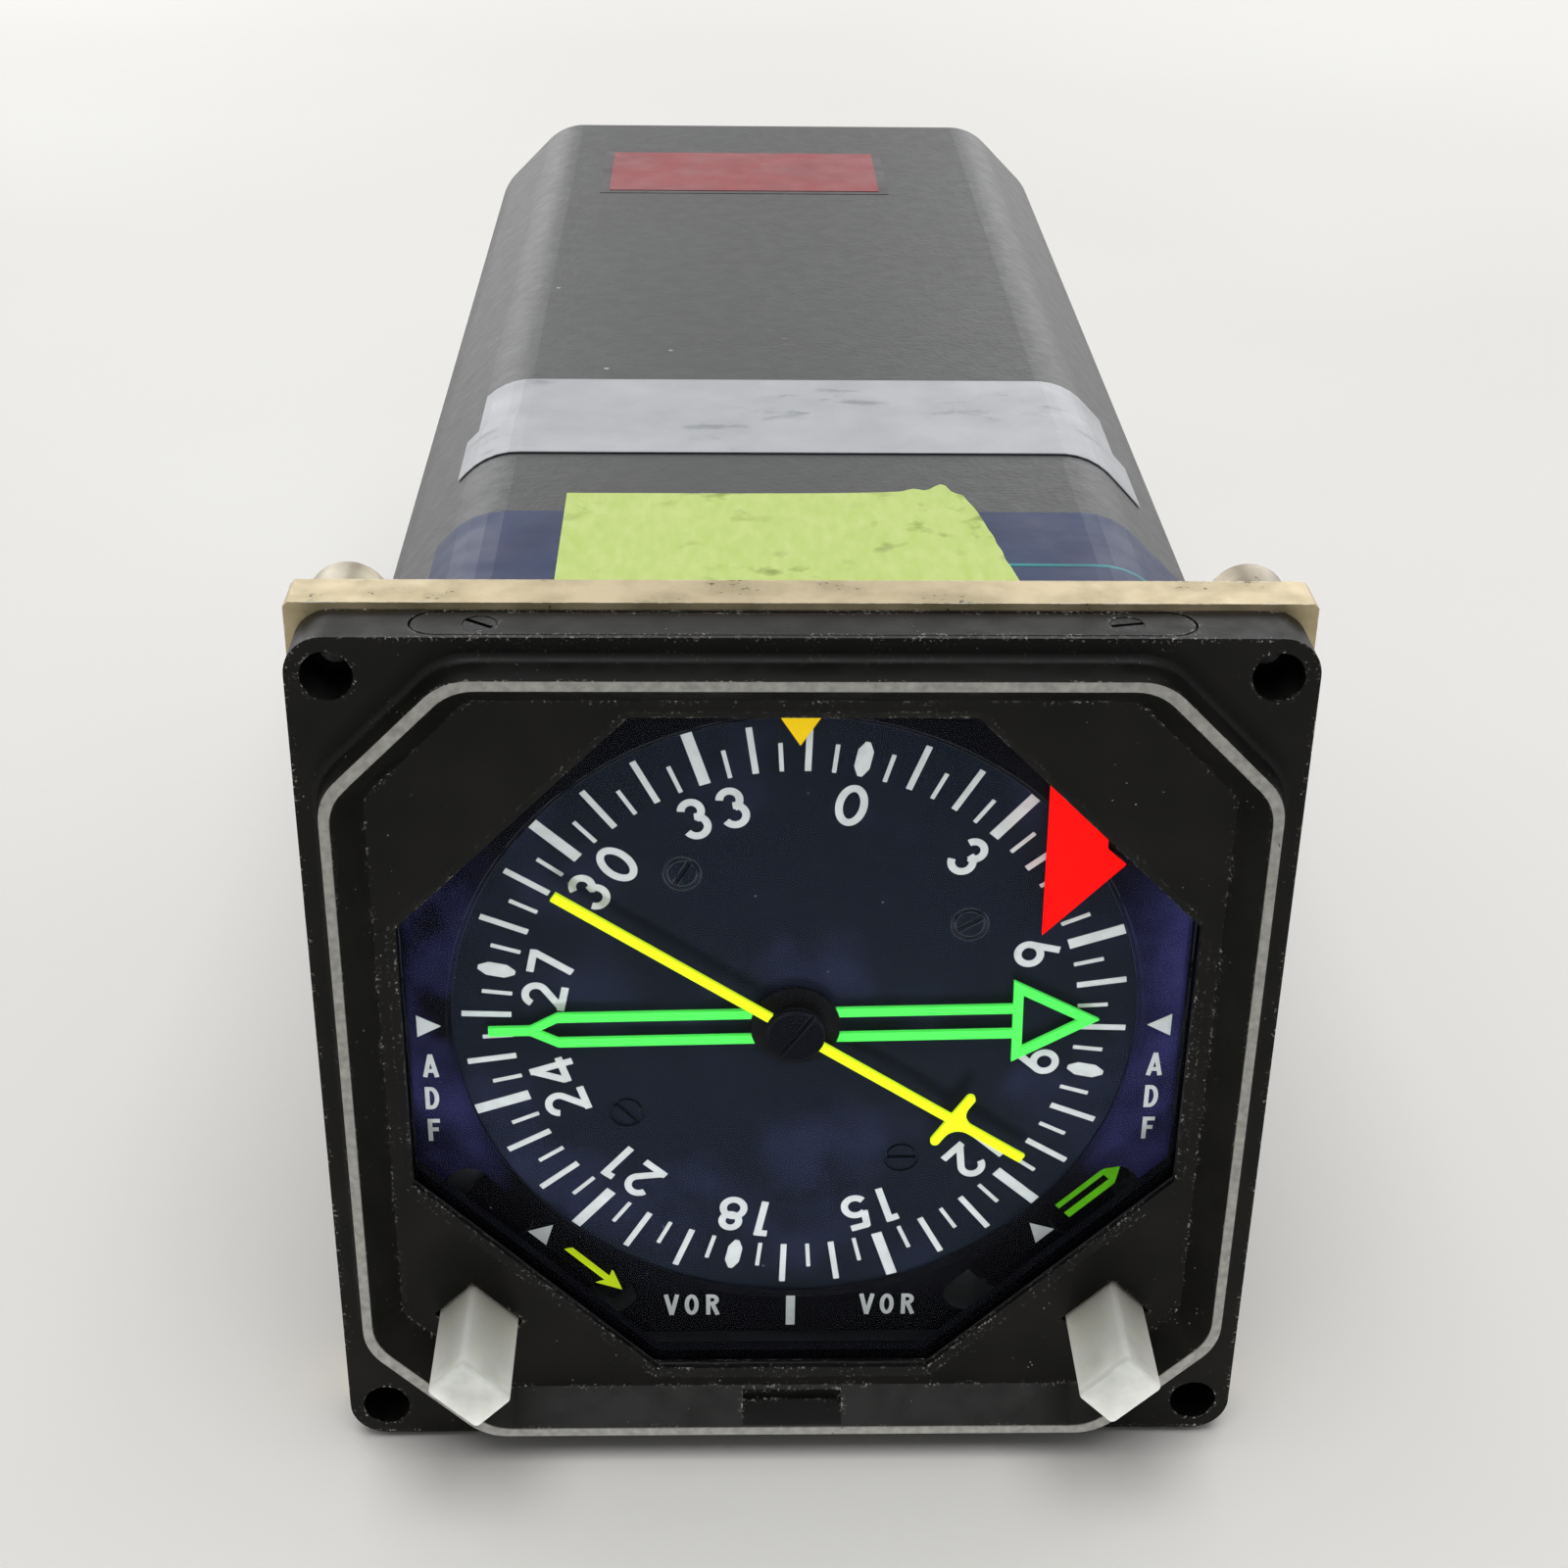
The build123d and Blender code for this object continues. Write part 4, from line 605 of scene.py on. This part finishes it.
# Each figure is as tall as 1, and is a list of strokes
nib = 0.165
base = nib / 2
top = 1 - nib / 2
glyphs = {
    "0": [arc(0.37, 0.5, 0.26, 0, 360, top - 0.5)],
    "1": [[(0.27, 0), (0.27, 1)], [(0.05, 0.90), (0.30, 0.92)]],
    "2": [arc(0.33, 0.68, 0.24, 165, -35) + [(0.10, base)], [(0.02, base), (0.64, base)]],
    "3": [arc(0.31, 0.70, 0.215, 165, -80), arc(0.31, 0.315, 0.235, 85, -160)],
    "4": [[(0.50, 0), (0.50, 1)], [(0.52, 0.96), (0.05, 0.30)], [(0.0, 0.27), (0.68, 0.27)]],
    "5": [[(0.16, top), (0.58, top)], [(0.20, 0.96), (0.14, 0.50)],
          arc(0.31, 0.33, 0.25, 132, -150)],
    "6": [arc(0.35, 0.33, 0.25, 0, 360), [(0.12, 0.42), (0.46, 1.0)]],
    "7": [[(0.04, top), (0.62, top)], [(0.56, top), (0.20, 0.0)]],
    "8": [arc(0.34, 0.70, 0.195, 0, 360), arc(0.34, 0.32, 0.24, 0, 360)],
    "9": [arc(0.35, 0.67, 0.25, 0, 360), [(0.58, 0.58), (0.24, 0.0)]],
    "A": [[(0.06, 0), (0.28, 1)], [(0.28, 1), (0.50, 0)], [(0.12, 0.28), (0.44, 0.28)]],
    "D": [[(0.09, 0), (0.09, 1)],
          [(0.09, top)] + arc(0.22, 0.5, 0.22, 80, -80, top - 0.5) + [(0.09, base)]],
    "F": [[(0.09, 0), (0.09, 1)], [(0.09, top), (0.46, top)], [(0.09, 0.53), (0.40, 0.53)]],
    "V": [[(0.05, 1), (0.27, 0)], [(0.27, 0), (0.49, 1)]],
    "O": [arc(0.27, 0.5, 0.19, 0, 360, top - 0.5)],
    "R": [[(0.09, 0), (0.09, 1)],
          [(0.09, top)] + arc(0.24, 0.74, 0.18, 80, -80) + [(0.09, 0.56)],
          [(0.26, 0.52), (0.46, 0)]],
}
usual_advance = 0.86
advances = {"1": 0.62, "A": 0.72, "D": 0.72, "F": 0.66, "V": 0.70, "O": 0.74, "R": 0.70}
print("figures drawn:", "".join(glyphs))

# %% [markdown]
# A stroke starts as a flat strip of a grid. Each of its columns moves to a point
# of the path and turns square to it, or halfway between the two directions at a
# bend. Extruding the strip by a hair of paint closes it. Where strokes cross,
# each lies a few thousandths of a millimetre above the last one, so that no two
# faces share one plane.

# %% A stroke of the nib
def square_to(points, index, closed):
    """Sideways direction of the nib at a point, longer at a bend so that the width stays."""
    last = len(points) - 1
    before = index - 1 if index > 0 else (last - 1 if closed else 0)
    after = index + 1 if index < last else (1 if closed else last)
    sides = []
    for start, end in ((before, index), (index, after)):
        if start != end:
            run = (points[end] - points[start]).normalized()
            sides.append(Vector((-run.y, run.x)))
    first, second = sides[0], sides[-1]
    return (first + second) / (1 + first.dot(second))


def painted_stroke(bm, path, level):
    """Adds one stroke to a bmesh, as a thin closed solid this far above X and Y."""
    points = [Vector(point) for point in path]
    closed = len(points) > 3 and (points[0] - points[-1]).length < 0.01
    strip = bmesh.ops.create_grid(bm, x_segments=len(points) - 1, y_segments=1, size=0.5)["verts"]
    for vertex in strip:
        index = round((vertex.co.x + 0.5) * (len(points) - 1))
        nib_side = 1 if vertex.co.y > 0 else -1
        place = points[index] + square_to(points, index, closed) * nib_side * nib / 2
        vertex.co = (place.x, place.y, 0)
    if closed:
        bmesh.ops.remove_doubles(bm, verts=strip, dist=0.001)
    faces = {face for vertex in strip if vertex.is_valid for face in vertex.link_faces}
    raised = bmesh.ops.extrude_face_region(bm, geom=list(faces), use_keep_orig=True)["geom"]
    upper = [v for v in raised if isinstance(v, bmesh.types.BMVert)]
    bmesh.ops.translate(bm, verts=upper, vec=(0, 0, level))


trial = bmesh.new()
painted_stroke(trial, [(0, 0), (0, 1)], 0.01)
print("faces in a straight stroke:", len(trial.faces))
trial.free()

# %% A word in paint
ink_thickness = 0.03
ink_step = 0.004


def advance(letter):
    """Room that one figure or letter takes, in figure heights."""
    return advances.get(letter, usual_advance)


def word_width(text):
    """Width of a word, in figure heights."""
    return sum(advance(letter) for letter in text)


def written(bm, text, height, spacing, clock_angle, x, y, z):
    """Adds a word that faces the pilot, with the middle of its foot at a point in millimetres."""
    word = bmesh.new()
    pen = -word_width(text) * spacing / 2
    for letter in text:
        room = advance(letter) * spacing
        left = pen + (room - advance(letter)) / 2 + nib / 3
        for number, stroke in enumerate(glyphs[letter]):
            moved = [(left + px, py) for px, py in stroke]
            painted_stroke(word, moved, (ink_thickness + number * ink_step) / height)
        pen += room
    bmesh.ops.recalc_face_normals(word, faces=word.faces)
    a = math.radians(clock_angle)
    across = Vector((math.cos(a), 0, -math.sin(a)))
    outward = Vector((math.sin(a), 0, math.cos(a)))
    turn = Matrix((across, outward, Vector((0, -1, 0)))).transposed().to_4x4()
    place = Matrix.Translation(Vector((x, y, z)) * mm) @ turn @ Matrix.Scale(height * mm, 4)
    bmesh.ops.transform(word, matrix=place, verts=word.verts)
    mesh = bpy.data.meshes.new(text)
    word.to_mesh(mesh)
    word.free()
    bm.from_mesh(mesh)
    bpy.data.meshes.remove(mesh)


print("width of 33 in figure heights:", word_width("33"))

# %% A piece of the object
def add_piece(name, bm, material, body):
    """Turns a bmesh into a piece of the object that rides on a body."""
    mesh = bpy.data.meshes.new(name)
    bm.to_mesh(mesh)
    bm.free()
    piece = bpy.data.objects.new(name, mesh)
    bpy.context.collection.objects.link(piece)
    piece.data.materials.append(material)
    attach(piece, body)
    return piece


# %% [markdown]
# The card's figures stand for tens of degrees, so 3 is thirty. They are read
# from outside, with their tops towards the ticks. The card is shown with 348.4
# under the lubber mark, as it stopped when the power went.

# %% Figures of the card
card_face = low("compass_card")[1]
card_heading = 348.4
figure_height = 4.05
figure_foot = 20.5
bm = bmesh.new()
for tens in range(0, 36, 3):
    clock_angle = tens * 10 - card_heading
    a = math.radians(clock_angle)
    x, z = figure_foot * math.sin(a), figure_foot * math.cos(a)
    written(bm, str(tens), figure_height, 1.0, clock_angle, x, card_face, z)
card_figures = add_piece("card_figures", bm, white_ink, "card")
print("faces in the figures:", len(card_figures.data.polygons))

# %% [markdown]
# Function legends stand on the mask: one letter above another at the sides,
# and in a row at the foot.

# %% Legends of the mask
mask_face = low("dial_mask")[1]
legend_height = 2.45
legend_x = 32.8
legend_middles = (-4.3, -7.85, -11.4)
foot_legend_x = 9.35
foot_legend_z = -33.3
bm = bmesh.new()
for side in (-1, 1):
    for letter, z in zip("ADF", legend_middles):
        foot = z - legend_height / 2
        written(bm, letter, legend_height, 1.0, 0, side * legend_x, mask_face, foot)
    written(bm, "VOR", legend_height, 1.12, 0, side * foot_legend_x, mask_face, foot_legend_z)
mask_legends = add_piece("mask_legends", bm, white_ink, "housing")
print("faces in the legends:", len(mask_legends.data.polygons))

# %% [markdown]
# Tapes, labels and a decal are stuck on the case. Each is a grid bent round the
# case's section: u runs round the section from the middle of the top, and v
# runs back along the case.

# %% Section of the case
case_top = high("case_shell")[2]
case_front = low("case_shell")[1]
corner_cut = 9.25
bend = 7.0
bend_run = bend * math.tan(math.radians(22.5))
flat_half = case_top - corner_cut - bend_run
arc_run = bend * math.pi / 4


def on_case(u, v, lift):
    """Point this far above the case, in millimetres."""
    side = 1 if u >= 0 else -1
    run = abs(u)
    if run <= flat_half:
        x, z, tilt = run, case_top, 0.0
    elif run <= flat_half + arc_run:
        tilt = (run - flat_half) / bend
        x = flat_half + bend * math.sin(tilt)
        z = case_top - bend + bend * math.cos(tilt)
    else:
        tilt = math.pi / 4
        down = run - flat_half - arc_run
        x = flat_half + bend * math.sin(tilt) + down * math.cos(tilt)
        z = case_top - bend + bend * math.cos(tilt) - down * math.sin(tilt)
    return Vector((side * (x + lift * math.sin(tilt)), v, z + lift * math.cos(tilt)))


print("top flat from the middle to", round(flat_half, 2), "mm")

# %% A thin sheet stuck on the case
def stuck_sheet(columns, rows, outline, lift, thickness):
    """A sheet whose edges come from outline(s, t), which gives u and v, and lift(u, v)."""
    bm = bmesh.new()
    bmesh.ops.create_grid(bm, x_segments=columns, y_segments=rows, size=0.5)
    for vertex in bm.verts:
        u, v = outline(vertex.co.x + 0.5, vertex.co.y + 0.5)
        vertex.co = on_case(u, v, lift(u, v) + thickness) * mm
    bmesh.ops.recalc_face_normals(bm, faces=bm.faces)
    if sum(face.normal.z for face in bm.faces) < 0:
        bmesh.ops.reverse_faces(bm, faces=bm.faces)
    bmesh.ops.solidify(bm, geom=bm.faces[:], thickness=thickness * mm)
    return bm


print("sheet maker ready")

# %% [markdown]
# Blue film tape lies lowest, from the flange back over the front of the case.
# It is clear blue plastic, so the dark paint below turns it navy, and where
# a layer ends a brighter line is painted as a highlight.

# %% Blue film tape
def make_film(name, deep, pale):
    material, tree, shader = new_material(name, Specular_IOR_Level=0.2)
    tone = mixed(tree, patches(tree, 9.0, 0.4, 0.7, 3.0), colour(deep), colour(pale))
    tree.links.new(tone, shader.inputs["Base Color"])
    roughened(tree, shader, patches(tree, 4.0, 0.3, 0.7), 0.4, 0.5)
    bumped(tree, shader, patches(tree, 3.0, 0.3, 0.7, 2.0), 0.03, 0.4)
    return material


blue_film = make_film("blue_polyester_film", "071b45", "0f2a52")
film_left = -34.0
film_right = 38.5
film_front = case_front + 0.1
film_end = 33.7


def film_outline(s, t):
    return film_left + (film_right - film_left) * s, film_front + (film_end - film_front) * t


blue_tape = add_piece(
    "blue_tape", stuck_sheet(48, 8, film_outline, lambda u, v: 0.0, 0.06), blue_film, "housing",
)
print("blue tape faces:", len(blue_tape.data.polygons))

# %% [markdown]
# The second layer of the film starts nearer the flange. Where its cut edge
# catches the light, a teal line is painted as its highlight.

# %% Second layer of the film
teal_highlight = make_film("teal_edge_highlight", "0f6d78", "1c8a92")
second_left = 6.0
second_right = 38.0
second_end = 21.0
highlight_width = 0.55


def second_outline(s, t):
    u = second_left + (second_right - second_left) * s
    return u, film_front + (second_end - film_front) * t


def line_outline(s, t):
    u = second_left + (second_right - second_left) * s
    return u, second_end + 0.15 * math.sin(u / 9.0) + highlight_width * t


add_piece(
    "blue_tape_upper", stuck_sheet(24, 4, second_outline, lambda u, v: 0.07, 0.05), blue_film,
    "housing",
)
# Painted highlight: the teal strip along the second layer's cut edge.
add_piece(
    "tape_edge_highlight", stuck_sheet(24, 1, line_outline, lambda u, v: 0.07, 0.06), teal_highlight,
    "housing",
)
print("tape layers added")

# %% [markdown]
# The yellow-green tape is crepe paper tape. It is torn from a roll by hand, so
# its right end is ragged and puckered, and its surface has fine cross wrinkles.

# %% Crepe paper tape
def make_crepe():
    material, tree, shader = new_material("crepe_paper_tape")
    grain = patches(tree, 1.1, 0.3, 0.7, 4.0, (1.0, 0.35, 1.0))
    tone = mixed(tree, grain, colour("cadc84"), colour("c0d574"))
    smudge = times(tree, patches(tree, 3.0, 0.55, 0.68, 5.0), patches(tree, 12.0, 0.45, 0.6))
    tree.links.new(mixed(tree, smudge, tone, colour("8fa04a")), shader.inputs["Base Color"])
    roughened(tree, shader, grain, 0.6, 0.75)
    bumped(tree, shader, grain, 0.05, 0.5)
    return material


crepe = make_crepe()
note_left = -21.0
note_right = 17.0
note_front = 10.3
note_back = 37.6


def note_outline(s, t):
    v = note_front + (note_back - note_front) * t
    ragged = 0.5 * noise.noise(Vector((0.0, v * 0.35, 4.0))) + 3.2 * (1 - t) ** 1.5
    u = note_left + (note_right + ragged - 2.6 * t ** 6 - note_left) * s
    return u, v + (1.3 * s ** 6) * t


def note_lift(u, v):
    pucker = max(0.0, (u - 9.0) / 9.0) * max(0.0, (v - 28.0) / 10.0)
    return 0.15 + 0.9 * pucker * (0.5 + 0.5 * math.sin(u * 2.4))


note_tape = add_piece(
    "note_tape", stuck_sheet(70, 40, note_outline, note_lift, 0.12), crepe, "housing",
)
print("note tape faces:", len(note_tape.data.polygons))

# %% [markdown]
# Two white paper labels overlap across the case and run over both slopes.
# Where the second covers the first there is a seam, drawn as a real step.

# %% White labels
def make_label_paper():
    material, tree, shader = new_material("laminated_label_paper", Specular_IOR_Level=0.3)
    tone = mixed(tree, patches(tree, 7.0, 0.35, 0.7, 4.0), colour("babcc0"), colour("a9abb0"))
    smear = times(tree, patches(tree, 2.2, 0.55, 0.66, 6.0, (0.5, 1.0, 1.0)),
                  patches(tree, 14.0, 0.52, 0.62))
    tree.links.new(mixed(tree, smear, tone, colour("8f9295")), shader.inputs["Base Color"])
    roughened(tree, shader, patches(tree, 4.0, 0.3, 0.7), 0.38, 0.5)
    bumped(tree, shader, patches(tree, 5.0, 0.3, 0.7, 3.0), 0.04, 0.35)
    return material


label_paper = make_label_paper()
label_left = -33.0
label_right = 36.0
back_label_inset = 1.5
back_label_front, back_label_back = 57.5, 70.0
front_label_front, front_label_back = 48.6, 59.2


def droop(u):
    """How far the label slips forward where it runs over a slope."""
    return 0.00385 * max(0.0, u - 26.0) ** 2.6 + 0.03 * max(0.0, -u - 27.0) ** 1.6


def back_label_outline(s, t):
    u = label_left + back_label_inset + (label_right - label_left - 2 * back_label_inset) * s
    return u, back_label_front + (back_label_back - back_label_front) * t - droop(u)


def front_label_outline(s, t):
    u = label_left + (label_right - label_left) * s
    v = front_label_front + (front_label_back - front_label_front) * t
    return u, v - droop(u) + 0.25 * math.sin(u / 11.0) * t


back_label = add_piece(
    "back_label", stuck_sheet(60, 8, back_label_outline, lambda u, v: 0.0, 0.09), label_paper,
    "housing",
)
front_label = add_piece(
    "front_label", stuck_sheet(60, 8, front_label_outline, lambda u, v: 0.1, 0.09), label_paper,
    "housing",
)
print("label faces:", len(back_label.data.polygons) + len(front_label.data.polygons))

# %% [markdown]
# Near the back is a small red decal with a dark border, left blank here. It is
# worn film, and its skin is uneven.

# %% Red decal
def make_decal(name, main, second):
    material, tree, shader = new_material(name)
    tone = mixed(tree, patches(tree, 6.0, 0.3, 0.7, 5.0), colour(main), colour(second))
    tree.links.new(tone, shader.inputs["Base Color"])
    roughened(tree, shader, patches(tree, 4.0, 0.3, 0.7), 0.4, 0.55)
    bumped(tree, shader, patches(tree, 0.8, 0.3, 0.7, 3.0), 0.03, 0.4)
    return material


decal_red = make_decal("red_decal_film", "8e1f26", "771a20")
decal_border = make_decal("black_decal_border", "1d1517", "251a1c")
decal_box = (-21.3, 14.1, 145.0, 164.5)
border = 1.2


def rectangle(left, right, front, back):
    """Outline function of a rectangle on the case."""
    return lambda s, t: (left + (right - left) * s, front + (back - front) * t)


left, right, front, back = decal_box
add_piece(
    "decal_frame", stuck_sheet(4, 2, rectangle(left - border, right + border, front - border,
                                               back + border), lambda u, v: 0.0, 0.05),
    decal_border, "housing",
)
add_piece(
    "decal_field", stuck_sheet(4, 2, rectangle(left, right, front, back), lambda u, v: 0.06, 0.05),
    decal_red, "housing",
)
print("decal added")

# %% [markdown]
# The instrument rests on the lower edge of its flange and on the back of its
# case, so it leans back a little. The frame stays level, and the floor is
# tilted instead. Its colour is a warm white.

# %% Floor
def make_floor_paper():
    material, tree, shader = new_material("floor_paper", Roughness=0.8)
    tone = mixed(tree, patches(tree, 300.0, 0.3, 0.7), colour("fbfaf7"), colour("f4f2ee"))
    tree.links.new(tone, shader.inputs["Base Color"])
    return material


flange_foot = low("mounting_flange")[2]
flange_y = high("mounting_flange")[1]
case_foot = low("case_shell")[2]
case_end_bend = 5.0
case_back = high("case_shell")[1] - case_end_bend
slope = (case_foot - flange_foot) / (case_back - flange_y)
bm = bmesh.new()
bmesh.ops.create_grid(bm, x_segments=2, y_segments=2, size=3.0)
for vertex in bm.verts:
    vertex.co.z = flange_foot * mm + slope * (vertex.co.y - flange_y * mm) - 0.02 * mm
floor_mesh = bpy.data.meshes.new("floor")
bm.to_mesh(floor_mesh)
bm.free()
floor = bpy.data.objects.new("floor", floor_mesh)
bpy.context.collection.objects.link(floor)
floor.data.materials.append(make_floor_paper())
print("floor tilt in degrees:", round(math.degrees(math.atan(slope)), 2))

# %% [markdown]
# Light is a plain soft studio: one broad lamp overhead, two low ones behind that
# the slopes of the case mirror, and a weak one in front. The shiny table throws
# light up at the dial, so that each pointer has its shadow just above it. A
# small lamp below the table stands for that light: light linking lets it
# through the floor, and the glass neither mirrors nor shows it. Places and
# sizes are in metres here, and the last number is the power in watts.

# %% Lamps
def add_lamp(name, place, target, size, power):
    data = bpy.data.lights.new(name, "AREA")
    data.shape = "RECTANGLE"
    data.size, data.size_y = size
    data.energy = power
    lamp = bpy.data.objects.new(name, data)
    bpy.context.collection.objects.link(lamp)
    direction = Vector(target) - Vector(place)
    lamp.matrix_world = (Matrix.Translation(place)
                         @ direction.to_track_quat("-Z", "Y").to_matrix().to_4x4())
    return lamp


middle = (0.0, 0.05, 0.0)
dial = (0.0, 0.008, 0.0)
add_lamp("overhead_lamp", (0.0, -0.16, 0.95), middle, (0.9, 0.9), 7.2)
add_lamp("back_right_lamp", (0.45, 0.85, 0.32), middle, (0.7, 0.5), 1.8)
add_lamp("back_left_lamp", (-0.45, 0.85, 0.32), middle, (0.7, 0.5), 2.1)
add_lamp("front_lamp", (-0.20, -0.80, 0.60), middle, (0.8, 0.8), 0.3)
table_light = add_lamp("table_light", (0.0, -0.25, -0.17), dial, (0.05, 0.05), 0.65)
blockers = bpy.data.collections.new("table_light_blockers")
blockers.objects.link(floor)
blockers.collection_objects[0].light_linking.link_state = "EXCLUDE"
table_light.light_linking.blocker_collection = blockers
table_light.visible_glossy = False
table_light.visible_transmission = False
print("lamps:", len(bpy.data.lights))

# %% [markdown]
# A pale world fills the shadows. Camera and mirror rays see it white, while the
# light it gives stays lower.

# %% World
fill_strength = 0.18
world = bpy.data.worlds.new("studio")
world.use_nodes = True
tree = world.node_tree
tree.nodes.clear()
path = add_node(tree, "ShaderNodeLightPath")
seen = add_node(tree, "ShaderNodeMath", {"operation": "MAXIMUM"},
                {0: path.outputs["Is Camera Ray"], 1: path.outputs["Is Glossy Ray"]})
fill = add_node(tree, "ShaderNodeBackground",
                {"Color": colour("f4f5f7"), "Strength": fill_strength})
white = add_node(tree, "ShaderNodeBackground", {"Color": colour("ffffff"), "Strength": 1.0})
mix = add_node(tree, "ShaderNodeMixShader",
               links={0: seen.outputs[0], 1: fill.outputs[0], 2: white.outputs[0]})
add_node(tree, "ShaderNodeOutputWorld", links={"Surface": mix.outputs[0]})
bpy.context.scene.world = world
bpy.context.scene.view_settings.view_transform = "Standard"
print("world ready")
